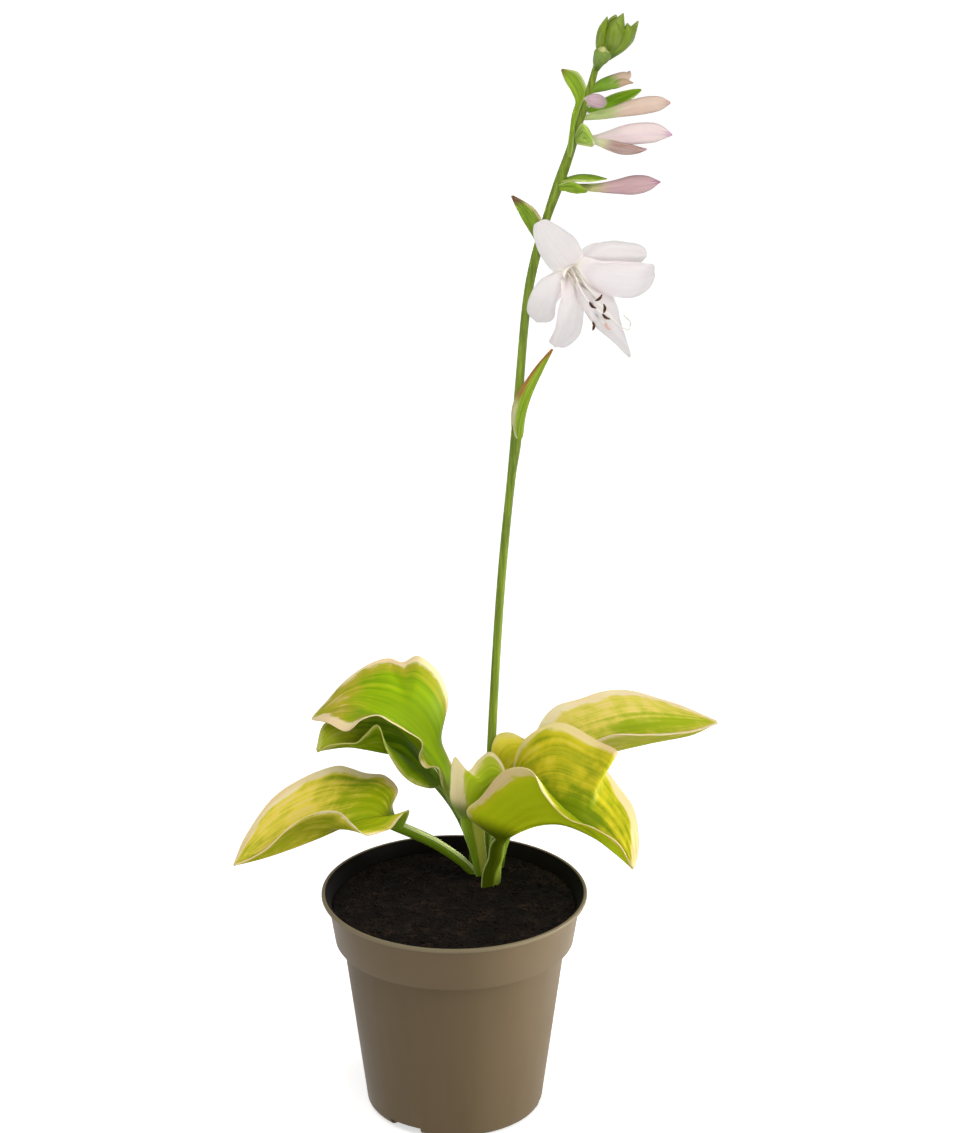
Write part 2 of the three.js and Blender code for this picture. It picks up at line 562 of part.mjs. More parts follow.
/** A leaf with its stalk: a channelled stalk out of the soil that opens into a waved, folded blade. */
function leafGeometry(leaf) {
  const foot = new THREE.Vector3(leaf.foot[0], leaf.foot[1], SOIL.crown + STALK.straight);
  const route = [[foot.x, foot.y, foot.z], ...leaf.stem, ...leaf.rib];
  const spine = curve(route);
  const base = (route.length - leaf.rib.length) / (route.length - 1);
  const rib = (u) => spine.getPoint(base + u * (1 - base));
  const ends = [leaf.rib[0], leaf.rib[leaf.rib.length - 1]];
  const left = curve([ends[0], ...leaf.left, ends[1]]);
  const right = curve([ends[0], ...leaf.right, ends[1]]);
  const turn = THREE.MathUtils.degToRad(leaf.turn);
  const footAcross = new THREE.Vector3(Math.cos(turn), Math.sin(turn), 0);
  const bladeAcross = left.getPoint(BLADE.baseAt).sub(right.getPoint(BLADE.baseAt)).normalize();
  const tipAcross = left.getPoint(BLADE.tipAt).sub(right.getPoint(BLADE.tipAt)).normalize();
  const [footWidth, topWidth] = leaf.halfWidths;
  const [footChannel, topChannel] = leaf.channels ?? STALK.channels;
  const stalkMiddle = leaf.stalkThickness ?? STALK.ribThickness;

  const section = (along, across, halfWidth, channel, v) => {
    const flat = squareTo(along, across);
    const up = along.clone().cross(flat).normalize();
    return flat.multiplyScalar(halfWidth * v).addScaledVector(up, channel * v * v);
  };
  const rows = [];
  const thickness = [];
  const stalkDepth = (v) => (
    THREE.MathUtils.lerp(stalkMiddle, STALK.edgeThickness, Math.abs(v) ** STALK.thinning)
  );
  const upright = new THREE.Vector3(0, 0, 1);
  for (const height of [SOIL.crown - SOIL.stemDepth, foot.z]) {
    const middle = new THREE.Vector3(foot.x, foot.y, height);
    rows.push(COLUMNS.map((v) => section(upright, footAcross, footWidth, footChannel, v).add(middle)));
    thickness.push(COLUMNS.map(stalkDepth));
  }
  for (let k = 1; k < BLADE.stalkRows; k += 1) {
    const s = k / BLADE.stalkRows;
    const middle = spine.getPoint(s * base);
    const along = spine.getTangent(s * base);
    const across = footAcross.clone().lerp(bladeAcross, smooth(0, 1, s));
    const halfWidth = THREE.MathUtils.lerp(footWidth, topWidth, s);
    const channel = THREE.MathUtils.lerp(footChannel, topChannel, s);
    rows.push(COLUMNS.map((v) => section(along, across, halfWidth, channel, v).add(middle)));
    thickness.push(COLUMNS.map(stalkDepth));
  }
  for (let k = 0; k <= leaf.rows; k += 1) {
    const u = k / leaf.rows;
    const along = spine.getTangent(base + u * (1 - base));
    const fade = 1 - smooth(0, BLADE.stalkUntil, u);
    const spread = smooth(BLADE.spreadFrom, 1, u) * BLADE.tipSpread;
    const opened = squareTo(along, tipAcross);
    rows.push(COLUMNS.map((v) => bladePoint(rib, left, right, leaf.belly, BLADE.crease, u, v)
      .add(section(along, bladeAcross, topWidth * fade, topChannel * fade, v))
      .addScaledVector(opened, spread * v)));
    const ridge = Math.max(0, 1 - u / BLADE.ribFade) * (BLADE.ribThickness - BLADE.thickness);
    thickness.push(COLUMNS.map((v) => {
      const blade = BLADE.thickness + (v === 0 ? ridge : 0);
      return THREE.MathUtils.lerp(blade, stalkDepth(v), fade);
    }));
  }
  const upper = BLADE.thickness / 2;
  return sheet(rows, () => upper, (i, j) => thickness[i][j] - upper);
}

/** Rows of a petal or bract, whose kind gives the grid, the swell and the widths at base and tip. */
function smallBladeRows(blade, kind) {
  const spine = curve(blade.rib);
  const ends = [blade.rib[0], blade.rib[blade.rib.length - 1]];
  const left = curve([ends[0], ...blade.left, ends[1]]);
  const right = curve([ends[0], ...blade.right, ends[1]]);
  const { baseAt, tipAt, baseUntil, spreadFrom } = SMALL_BLADE;
  const baseAcross = left.getPoint(baseAt).sub(right.getPoint(baseAt)).normalize();
  const tipAcross = left.getPoint(tipAt).sub(right.getPoint(tipAt)).normalize();
  const baseHalfWidth = blade.baseHalfWidth ?? kind.baseHalfWidth;
  return Array.from({ length: kind.rows + 1 }, (_, k) => {
    const u = k / kind.rows;
    const along = spine.getTangent(u);
    const widen = (1 - smooth(0, baseUntil, u)) * baseHalfWidth;
    const spread = smooth(spreadFrom, 1, u) * kind.tipHalfWidth;
    return kind.columns.map((v) => bladePoint((t) => spine.getPoint(t), left, right, kind.belly, 0, u, v)
      .addScaledVector(squareTo(along, baseAcross), widen * v)
      .addScaledVector(squareTo(along, tipAcross), spread * v));
  });
}

/** One bract: a thin pointed leaflet. */
function bractGeometry(bract) {
  const rows = smallBladeRows(bract, BRACT);
  const half = BRACT.thickness / 2;
  return sheet(rows, () => half, () => half);
}

/** The pot's wall and floor in one profile, its drain notches cut through the foot. */
function potGeometry() {
  const { wall, floor, footRadius, footRound, height, lipRadius, lipDepth, lipWidth, lipRound } = POT;
  const lipFoot = height - lipDepth;
  const rounding = Array.from({ length: POT.footRings }, (_, k) => {
    const angle = (Math.PI / 2) * (k / (POT.footRings - 1));
    return [footRadius - footRound + footRound * Math.sin(angle), footRound - footRound * Math.cos(angle)];
  });
  const profile = [
    [0, 0], ...rounding, [POT.bodyTopRadius, POT.ledgeHeight], [POT.bandFootRadius, POT.ledgeHeight],
    [POT.bandTopRadius, lipFoot], [lipRadius - lipRound, lipFoot], [lipRadius, lipFoot + lipRound],
    [lipRadius, height - lipRound], [lipRadius - lipRound, height], [lipRadius - lipWidth + lipRound, height],
    [lipRadius - lipWidth, height - lipRound], [POT.bandTopRadius - wall, lipFoot - wall],
    [POT.bandFootRadius - wall, POT.ledgeHeight + wall], [POT.bodyTopRadius - wall, POT.ledgeHeight + wall],
    ...POT.floorCorner.map(([inward, up]) => [footRadius - wall - inward, floor + up]), [0, floor],
  ];
  let pot = toSolid(turned(profile, POT.sides));
  for (let k = 0; k < NOTCH.count; k += 1) {
    const middle = THREE.MathUtils.degToRad(NOTCH.first + (360 / NOTCH.count) * k);
    const half = THREE.MathUtils.degToRad(NOTCH.width / 2);
    const sector = new THREE.Shape();
    sector.absarc(0, 0, NOTCH.outerRadius, middle - half, middle + half, false);
    sector.absarc(0, 0, NOTCH.innerRadius, middle + half, middle - half, true);
    const depth = NOTCH.height + NOTCH.below;
    const options = { depth, bevelEnabled: false, curveSegments: NOTCH.sides };
    const cutter = new THREE.ExtrudeGeometry(sector, options);
    cutter.translate(0, 0, -NOTCH.below);
    pot = pot.subtract(toSolid(cutter));
  }
  return toGeometry(pot);
}

/** The rounded slot that a leaf stalk stands in. */
function stalkHole(leaf) {
  const halfLength = leaf.halfWidths[0] + STALK.slotGap;
  const [footChannel] = leaf.channels ?? STALK.channels;
  const stalkMiddle = leaf.stalkThickness ?? STALK.ribThickness;
  const slotTop = footChannel + BLADE.thickness / 2 + STALK.slotGap;
  const slotBottom = -(stalkMiddle - BLADE.thickness / 2) - STALK.slotGap;
  const radius = STALK.slotRound;
  const slot = new THREE.Shape();
  slot.absarc(halfLength - radius, slotTop - radius, radius, 0, Math.PI / 2, false);
  slot.absarc(radius - halfLength, slotTop - radius, radius, Math.PI / 2, Math.PI, false);
  slot.absarc(radius - halfLength, slotBottom + radius, radius, Math.PI, 1.5 * Math.PI, false);
  slot.absarc(halfLength - radius, slotBottom + radius, radius, 1.5 * Math.PI, 2 * Math.PI, false);
  const depth = SOIL.stemDepth + GAP + SOIL.holeTop;
  const options = { depth, bevelEnabled: false, curveSegments: STALK.slotSides };
  const hole = new THREE.ExtrudeGeometry(slot, options);
  hole.rotateZ(THREE.MathUtils.degToRad(leaf.turn));
  hole.translate(leaf.foot[0], leaf.foot[1], SOIL.crown - SOIL.stemDepth - GAP);
  return toSolid(hole);
}

/** The soil that fills the pot, with a plain hole for each stem. */
function soilGeometry() {
  const { wall, floor, footRadius, ledgeHeight, bandFootRadius, bodyTopRadius } = POT;
  const inset = wall + GAP;
  const bandDepth = POT.height - POT.lipDepth - wall - ledgeHeight - wall;
  const slope = (POT.bandTopRadius - bandFootRadius) / bandDepth;
  const edgeRadius = bandFootRadius - inset + slope * (SOIL.edge - ledgeHeight - wall);
  const profile = [
    [0, floor + GAP],
    ...POT.floorCorner.map(([inward, up]) => [footRadius - inset - inward, floor + up + GAP]).reverse(),
    [bodyTopRadius - inset, ledgeHeight + wall + GAP], [bandFootRadius - inset, ledgeHeight + wall + GAP],
    [edgeRadius, SOIL.edge], [SOIL.shoulder, SOIL.crown - SOIL.fall], [0, SOIL.crown],
  ];
  let soil = toSolid(turned(profile, POT.sides));
  for (const leaf of Object.values(LEAVES)) soil = soil.subtract(stalkHole(leaf));
  const [x, y, bottom] = SCAPE.foot;
  const depth = SOIL.crown - bottom + GAP + SOIL.holeTop;
  const holeRadius = SCAPE.route[0][3] + SCAPE.holeGap;
  const hole = new THREE.CylinderGeometry(holeRadius, holeRadius, depth, SCAPE.holeSides);
  hole.rotateX(Math.PI / 2);
  hole.translate(x, y, bottom - GAP + depth / 2);
  return toGeometry(soil.subtract(toSolid(hole)));
}

/** The flower stem, grown all round by a clearance when it cuts its neighbours. */
function scapeGeometry(grow = 0) {
  const [x, y, bottom] = SCAPE.foot;
  const stations = stationsAlong(SCAPE.route, SCAPE.ringsPerSpan, grow);
  stations[0].at.set(x, y, SCAPE.route[0][2]);
  stations.unshift({ at: new THREE.Vector3(x, y, bottom - grow), radius: SCAPE.route[0][3] + grow });
  return skin(stations, SCAPE.sides);
}

/** One bud with its short stalk, its routes joined in one body. */
function budSolid(bud, grow = 0) {
  const bodies = bud.routes.map((route) => skin(stationsAlong(route, BUD.ringsPerSpan, grow), BUD.sides));
  return bodies.map(toSolid).reduce((sum, body) => sum.add(body));
}

/** The scales of the green tip, joined in one body. */
function tipSolid() {
  const scales = TIP_SCALES.map((route) => skin(stationsAlong(route, BUD.ringsPerSpan), BUD.scaleSides));
  return scales.map(toSolid).reduce((sum, scale) => sum.add(scale));
}

/** The end of the filament that carries an anther. */
function filamentTip(anther) {
  const at = vector(anther.at);
  const start = vector(BLOOM.throat);
  const arrive = at.clone().sub(start).normalize();
  const lengthwise = Math.abs(arrive.dot(vector(anther.along).normalize()));
  const reach = Math.hypot((lengthwise * ANTHER.length) / 2, Math.sqrt(1 - lengthwise ** 2) * ANTHER.radius);
  return at.addScaledVector(arrive, -(reach + GAP + ANTHER.slack));
}

/** The outside of the flower's tube, grown all round by a clearance. */
function tubeSolid(grow = 0) {
  return toSolid(skin(stationsAlong(BLOOM.tube, BLOOM.tubeRings, grow), BLOOM.sides));
}

/** The open flower: hollow tube, petals, filaments and style joined in one body. */
function bloomSolid() {
  const throat = vector(BLOOM.throat);
  const axis = throat.clone().sub(vector(BLOOM.tube[2])).normalize();
  const hollow = toSolid(skin(stationsAlong(BLOOM.hollow, 1), BLOOM.sides));
  let bloom = tubeSolid().subtract(hollow);
  for (const petal of BLOOM.petals) {
    const outward = vector(petal.rib[0]).sub(throat);
    outward.addScaledVector(axis, -outward.dot(axis)).normalize();
    const start = throat.clone().addScaledVector(outward, BLOOM.throatRadius)
      .addScaledVector(axis, -BLOOM.petalDepth);
    const blade = { rib: [start.toArray(), ...petal.rib], left: petal.left, right: petal.right };
    const rows = smallBladeRows(blade, BLOOM);
    const half = BLOOM.thickness / 2;
    bloom = bloom.add(toSolid(sheet(rows, () => half, () => half)));
  }
  const sideways = new THREE.Vector3(0, 0, 1).cross(axis).normalize();
  const upward = axis.clone().cross(sideways);
  for (const anther of ANTHERS) {
    const angle = THREE.MathUtils.degToRad(anther.root);
    const offset = sideways.clone().multiplyScalar(Math.cos(angle)).addScaledVector(upward, Math.sin(angle));
    const inner = vector(BLOOM.filamentRoot).addScaledVector(offset, BLOOM.filamentRootSpread);
    const start = throat.clone().addScaledVector(offset, BLOOM.filamentSpread);
    const tip = filamentTip(anther);
    const middle = start.clone().lerp(tip, 0.5);
    middle.z -= BLOOM.filamentSag;
    const route = [inner, start, middle, tip].map((point) => [...point.toArray(), BLOOM.filamentRadius]);
    bloom = bloom.add(toSolid(skin(stationsAlong(route, 1), BLOOM.filamentSides)));
  }
  return bloom.add(toSolid(skin(stationsAlong(BLOOM.style, 1), BLOOM.filamentSides)));
}

/** One anther: a short spindle. */
function antherGeometry(anther) {
  const at = vector(anther.at);
  const along = vector(anther.along).normalize();
  const stations = ANTHER.outline.map(([place, share]) => ({
    at: at.clone().addScaledVector(along, place * ANTHER.length),
    radius: share * ANTHER.radius,
  }));
  return skin(stations, ANTHER.sides);
}

const plant = new THREE.Group();

/** Adds one named piece with its own material. */
function add(name, geometry, color, roughness) {
  const material = new THREE.MeshStandardMaterial({ color, roughness, metalness: 0 });
  const mesh = new THREE.Mesh(closed(geometry), material);
  mesh.name = name;
  plant.add(mesh);
}

add('pot', potGeometry(), COLOR.pot, ROUGHNESS.plastic);
add('soil', soilGeometry(), COLOR.soil, ROUGHNESS.soil);
for (const [name, leaf] of Object.entries(LEAVES)) add(name, leafGeometry(leaf), leaf.color, ROUGHNESS.green);
add('scape', scapeGeometry(), COLOR.scape, ROUGHNESS.green);

const clearStem = toSolid(scapeGeometry(GROWTH));
const clearBuds = Object.values(BUDS).map((bud) => budSolid(bud, GROWTH));
Object.entries(BUDS).forEach(([name, bud], place) => {
  let solid = budSolid(bud).subtract(clearStem);
  for (const neighbour of clearBuds.slice(0, place)) solid = solid.subtract(neighbour);
  add(name, toGeometry(solid), bud.color, ROUGHNESS.flower);
});
const bloom = bloomSolid().subtract(clearStem);
const clearTube = tubeSolid(GROWTH);
for (const [name, bract] of Object.entries(BRACTS)) {
  let solid = toSolid(bractGeometry(bract)).subtract(clearStem);
  for (const neighbour of [...clearBuds, clearTube]) solid = solid.subtract(neighbour);
  add(name, toGeometry(solid), bract.color, ROUGHNESS.green);
}
let tip = tipSolid().subtract(clearStem);
for (const neighbour of clearBuds) tip = tip.subtract(neighbour);
add('tip_cluster', toGeometry(tip), COLOR.tip, ROUGHNESS.green);
add('bloom', toGeometry(bloom), COLOR.bloom, ROUGHNESS.flower);
ANTHERS.forEach((anther, place) => {
  add(`anther_${place + 1}`, antherGeometry(anther), COLOR.anther, ROUGHNESS.anther);
});

export default plant;
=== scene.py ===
"""A potted hosta in flower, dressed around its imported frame.

Every solid of the frame is stood for by a finer piece of the same shape: waved leaves with cream margins, a
flower stem with bracts, buds and one open flower, crumbly soil, and a smooth nursery pot.
"""

import logging
import math
import random
from collections.abc import Callable, Sequence
from dataclasses import dataclass, field, replace
from enum import Enum

import bmesh
import bpy
from mathutils import Matrix, Vector, noise


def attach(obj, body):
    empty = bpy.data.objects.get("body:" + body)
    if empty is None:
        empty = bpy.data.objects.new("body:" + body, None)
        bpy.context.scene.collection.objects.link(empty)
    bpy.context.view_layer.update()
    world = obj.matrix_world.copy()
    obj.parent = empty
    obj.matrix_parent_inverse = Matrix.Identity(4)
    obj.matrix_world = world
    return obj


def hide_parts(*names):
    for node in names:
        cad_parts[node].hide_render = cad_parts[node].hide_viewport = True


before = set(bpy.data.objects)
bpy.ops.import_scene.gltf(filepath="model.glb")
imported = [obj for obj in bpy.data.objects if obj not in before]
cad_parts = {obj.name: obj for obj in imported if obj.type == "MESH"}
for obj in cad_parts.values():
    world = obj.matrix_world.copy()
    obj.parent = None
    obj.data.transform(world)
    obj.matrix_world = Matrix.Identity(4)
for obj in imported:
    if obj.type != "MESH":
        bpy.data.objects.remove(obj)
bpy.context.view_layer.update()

# A ring is a point and a radius, and a measure is a value for a row and a place in it.
Point = tuple[float, float, float]
Ring = tuple[float, float, float, float]
Colour = tuple[float, float, float]
Measure = Callable[[int, int], float]
WorkMesh = bmesh.types.BMesh
Socket = bpy.types.NodeSocket
Feed = Socket | float | Colour

LOG = logging.getLogger("hosta")
MM = 0.001
FAR_OUTSIDE = -8.0
GREEN_FLESH: Colour = (0.8, 1.0, 0.25)


class Slot(Enum):
    """The record's material slots."""

    POT = "pot_plastic"
    SOIL = "soil"
    LEAF = "leaf"
    STEM = "stem"
    BRACT = "bract"
    BUD = "bud"
    PETAL = "petal"
    ANTHER = "anther"


class Blend(Enum):
    """Ways to lay one colour over another."""

    MIX = "MIX"
    MULTIPLY = "MULTIPLY"


class Axis(Enum):
    """The parts of a vector."""

    X = "X"
    Y = "Y"
    Z = "Z"


def smooth(low: float, high: float, value: float) -> float:
    """Rises softly from 0 at low to 1 at high.

    Args:
        low: Where the rise starts.
        high: Where the rise ends.
        value: The place that is asked for.

    Returns:
        A share between 0 and 1.
    """
    share = min(max((value - low) / (high - low), 0.0), 1.0)
    return share * share * (3.0 - 2.0 * share)


def between(first: float, last: float, share: float) -> float:
    """The value at a share of the way from first to last."""
    return first + (last - first) * share


def along_list(values: Sequence[float], share: float) -> float:
    """Reads a list of evenly spaced values at a share of its length.

    Args:
        values: Values at even steps.
        share: A place between 0 and 1.

    Returns:
        The value there, straight between its neighbours.
    """
    place = min(max(share, 0.0), 1.0) * (len(values) - 1)
    index = min(int(place), len(values) - 2)
    return between(values[index], values[index + 1], place - index)


def tint(red: float, green: float, blue: float) -> Colour:
    """Turns a colour as a picture shows it into the light that a shader works in.

    Args:
        red: The red part, 0 to 255.
        green: The green part.
        blue: The blue part.

    Returns:
        The colour in linear light.
    """
    shares = [value / 255.0 for value in (red, green, blue)]
    return tuple(x / 12.92 if x <= 0.04045 else ((x + 0.055) / 1.055) ** 2.4 for x in shares)


class Route:
    """A smooth curve through points in millimetres, even in its points."""

    def __init__(self, points: Sequence[Sequence[float]]) -> None:
        """Keeps the points and one more beyond each end.

        Args:
            points: The points that the curve runs through.
        """
        inner = [Vector(point[:3]) for point in points]
        before = inner[0] * 2 - inner[1]
        after = inner[-1] * 2 - inner[-2]
        self.points = [before, *inner, after]
        self.spans = len(inner) - 1

    def at(self, share: float) -> Vector:
        """The point at a share of the route.

        Args:
            share: A place between 0 and 1.

        Returns:
            The point in millimetres.
        """
        place = min(max(share, 0.0), 1.0) * self.spans
        index = min(int(place), self.spans - 1)
        f = place - index
        a, b, c, d = self.points[index:index + 4]
        square = f * f
        cube = square * f
        curve = b * 2 + (c - a) * f + (a * 2 - b * 5 + c * 4 - d) * square
        return (curve + (b * 3 - a - c * 3 + d) * cube) * 0.5

    def heading(self, share: float) -> Vector:
        """The unit direction in which the route runs at a share of it."""
        step = 0.0005
        return (self.at(share + step) - self.at(share - step)).normalized()


def settle(bm: WorkMesh, name: str) -> bpy.types.Mesh:
    """Turns a working mesh into a lasting one, and frees it.

    Args:
        bm: The working mesh.
        name: The new mesh's name.

    Returns:
        The new mesh.
    """
    mesh = bpy.data.meshes.new(name)
    bm.to_mesh(mesh)
    bm.free()
    return mesh


def add_body(bm: WorkMesh, body: WorkMesh) -> None:
    """Puts one working mesh into another, and frees it.

    Args:
        bm: The mesh that takes the body.
        body: The mesh that goes in.
    """
    mesh = settle(body, "part")
    bm.from_mesh(mesh)
    bpy.data.meshes.remove(mesh)


def set_out(name: str, data: bpy.types.ID) -> bpy.types.Object:
    """Makes an object and puts it in the scene.

    Args:
        name: The object's name.
        data: Its mesh, lamp or camera.

    Returns:
        The new object.
    """
    thing = bpy.data.objects.new(name, data)
    bpy.context.scene.collection.objects.link(thing)
    return thing


def square_to(along: Vector, across: Vector) -> Vector:
    """The direction across a stalk or blade, square to the way it runs."""
    return (across - along * across.dot(along)).normalized()


@dataclass
class Blade:
    """A waved blade: a rib between two edges.

    A crease of 1 rules each half straight from the rib to its calm edge, and a crease of 0 bends one curve
    through all three. The waves of the edge fade towards the rib.
    """

    rib: Callable[[float], Vector]
    left: Route
    right: Route
    belly: float
    crease: float
    wave_reach: float = 0.1
    wave_fade: float = 2.2

    def calm(self, edge: Route, u: float) -> Vector:
        """A point of an edge with its waves evened out.

        Args:
            edge: The left or the right edge.
            u: The place from the base to the tip.

        Returns:
            The point in millimetres.
        """
        reach = min(self.wave_reach, u, 1 - u)
        return (edge.at(u - reach) + edge.at(u + reach) + edge.at(u) * 2) / 4

    def row(self, u: float, places: Sequence[float]) -> list[Vector]:
        """The points across the blade at one place along it.

        Args:
            u: The place from the base to the tip.
            places: Places from -1 at the right edge to 1 at the left edge.

        Returns:
            One point in millimetres for each place.
        """
        middle = self.rib(u)
        step = 0.01
        along = self.rib(min(u + step, 1)) - self.rib(max(u - step, 0))
        calm = {side: self.calm(edge, u) for side, edge in ((1, self.left), (-1, self.right))}
        wave = {1: self.left.at(u) - calm[1], -1: self.right.at(u) - calm[-1]}
        lift = {side: (along.cross(calm[side] - middle) * side).normalized() for side in (1, -1)}
        points = []
        for v in places:
            side = -1 if v < 0 else 1
            t = abs(v)
            ruled = middle + (calm[side] - middle) * t
            rounded = calm[1] * ((v * v + v) / 2) + calm[-1] * ((v * v - v) / 2) + middle * (1 - v * v)
            swell = self.belly * 4 * t * (1 - t) * math.sin(math.pi * u)
            bent = ruled.lerp(rounded, 1 - self.crease)
            points.append(bent + wave[side] * t ** self.wave_fade + lift[side] * swell)
        return points


@dataclass
class Sheet:
    """A thin waved sheet over rows of middle points, with a rim between its two faces."""

    rows: list[list[Vector]]
    upper: Measure
    lower: Measure
    chart: Callable[[int, int], tuple[float, float]]
    tags: dict[str, Measure]
    ripple: Measure

    def build(self) -> WorkMesh:
        """Builds the sheet as a closed mesh.

        Returns:
            The mesh in metres, with its chart as a UV map and its tags as attributes.
        """
        bm = bmesh.new()
        across = len(self.rows[0])
        length = len(self.rows)
        bmesh.ops.create_grid(bm, x_segments=across - 1, y_segments=length - 1, size=1.0)
        cell = bm.verts.layers.int.new("cell")
        under = bm.verts.layers.float.new("under")
        marks = {name: bm.verts.layers.float.new(name) for name in self.tags}
        chart = bm.loops.layers.uv.new("chart")
        for vert in bm.verts:
            j = round((vert.co.x + 1) / 2 * (across - 1))
            i = round((vert.co.y + 1) / 2 * (length - 1))
            vert[cell] = i * across + j
            vert.co = self.rows[i][j] * MM
        bmesh.ops.reverse_faces(bm, faces=bm.faces[:])
        bm.normal_update()
        for vert in bm.verts:
            vert.co += vert.normal * self.ripple(*divmod(vert[cell], across)) * MM
        bm.normal_update()
        middles = {vert[cell]: (vert.co.copy(), vert.normal.copy()) for vert in bm.verts}
        everything = bm.verts[:] + bm.edges[:] + bm.faces[:]
        extruded = bmesh.ops.extrude_face_region(bm, geom=everything, use_keep_orig=True)["geom"]
        for element in extruded:
            if isinstance(element, bmesh.types.BMVert):
                element[under] = 1.0
        for vert in bm.verts:
            i, j = divmod(vert[cell], across)
            middle, normal = middles[vert[cell]]
            offset = -self.lower(i, j) if vert[under] > 0.5 else self.upper(i, j)
            vert.co = middle + normal * (offset * MM)
            for name, layer in marks.items():
                vert[layer] = self.tags[name](i, j)
        bmesh.ops.recalc_face_normals(bm, faces=bm.faces[:])
        for face in bm.faces:
            face.smooth = True
            for loop in face.loops:
                loop[chart].uv = self.chart(*divmod(loop.vert[cell], across))
        rim = {face for face in bm.faces if len({vert[under] for vert in face.verts}) > 1}
        for edge in bm.edges:
            if len([face for face in edge.link_faces if face in rim]) == 1:
                edge.smooth = False
        return bm


@dataclass
class Roll:
    """A round body along a route of [x, y, z, radius] points, closed by a dome at each end.

    With a hollow, its end is an open mouth, and the inside follows the hollow's own route from that mouth
    back.
    """

    route: Sequence[Ring]
    sides: int
    rings_per_span: int
    shape: Callable[[float, float], float] | None = None
    dome: float = 0.7
    tags: dict[str, float] = field(default_factory=dict)
    hollow: Sequence[Ring] = ()
    thinnest: float = 0.05
    dome_steps: tuple[tuple[float, float], ...] = ((0.5, 0.86), (0.86, 0.5), (1.0, 0.0))

    def rings_along(self, route: Sequence[Ring], count: int) -> list[tuple[Vector, Vector, float, float]]:
        """The rings along one route.

        Args:
            route: The points with their radii.
            count: How many even steps the route is cut into.

        Returns:
            A middle, a heading, a radius and a share of the length for each ring.
        """
        path = Route(route)
        radii = Route([(ring[3], 0.0, 0.0) for ring in route])
        return [(path.at(share), path.heading(share), max(radii.at(share).x, self.thinnest), share)
                for share in (k / count for k in range(count + 1))]

    def stations(self) -> list[tuple[Vector, Vector, float, float]]:
        """The rings of the whole body.

        Returns:
            A middle, a heading, a radius and a share of the length for each ring.
        """
        count = (len(self.route) - 1) * self.rings_per_span
        rings = self.rings_along(self.route, count)
        if self.hollow:
            inside = reversed(self.rings_along(self.hollow, count))
            rings += [(middle, heading, radius, 1.0) for middle, heading, radius, _ in inside]
        for end, place in ((-1.0, 0), (1.0, -1)):
            middle, heading, radius, share = rings[place]
            caps = [(middle + heading * end * radius * self.dome * rise, heading, radius * width, share)
                    for rise, width in self.dome_steps]
            rings = caps[::-1] + rings if end < 0 else rings + caps
        return rings

    def build(self) -> WorkMesh:
        """Builds the body as a closed mesh.

        Returns:
            The mesh in metres, with the angle and the length as its chart.
        """
        rings = self.stations()
        side = Vector((0, 0, 1)) if abs(rings[0][1].z) < 0.8 else Vector((0, 1, 0))
        frames = []
        for middle, heading, radius, share in rings:
            side = square_to(heading, side)
            frames.append((middle, side.copy(), heading.cross(side), radius, share))
        bm = bmesh.new()
        bmesh.ops.create_grid(bm, x_segments=self.sides, y_segments=len(rings) - 1, size=1.0)
        chart = bm.loops.layers.uv.new("chart")
        marks = {name: bm.verts.layers.float.new(name) for name in self.tags}
        for face in bm.faces:
            face.smooth = True
            for loop in face.loops:
                place = (loop.vert.co.y + 1) / 2 * (len(rings) - 1)
                loop[chart].uv = ((loop.vert.co.x + 1) / 2, frames[round(place)][4])
        for vert in bm.verts:
            turn = (vert.co.x + 1) * math.pi
            middle, first, second, radius, share = frames[round((vert.co.y + 1) / 2 * (len(rings) - 1))]
            reach = radius * (self.shape(turn, share) if self.shape else 1.0)
            vert.co = (middle + first * math.cos(turn) * reach + second * math.sin(turn) * reach) * MM
            for name, layer in marks.items():
                vert[layer] = self.tags[name]
        bmesh.ops.remove_doubles(bm, verts=bm.verts[:], dist=1e-7)
        bmesh.ops.recalc_face_normals(bm, faces=bm.faces[:])
        return bm


def tag_after(bm: WorkMesh, name: str, count: int) -> None:
    """Gives a mesh an attribute that is 1 on every vertex after the first ones, and 0 on those.

    Args:
        bm: The mesh.
        name: The attribute's name.
        count: How many vertices come first.
    """
    layer = bm.verts.layers.float.new(name)
    for place, vert in enumerate(bm.verts):
        vert[layer] = 1.0 if place >= count else 0.0


def place_piece(name: str, bm: WorkMesh, finish: bpy.types.Material, slot: Slot,
                stands_for: Sequence[str] = ()) -> bpy.types.Object:
    """Makes a finished piece of the plant from a mesh, and has it ride on the frame.

    Args:
        name: The piece's name.
        bm: Its mesh in metres, in the frame's own place. It is freed.
        finish: Its material.
        slot: The record's slot that the finish belongs to; not used.
        stands_for: The solids of the frame that the piece replaces.

    Returns:
        The new object.
    """
    mesh = settle(bm, name)
    mesh.materials.append(finish)
    piece = set_out(name, mesh)
    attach(piece, "root")
    if stands_for:
        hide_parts(*stands_for)
    LOG.info("%s: %d faces", name, len(mesh.polygons))
    return piece


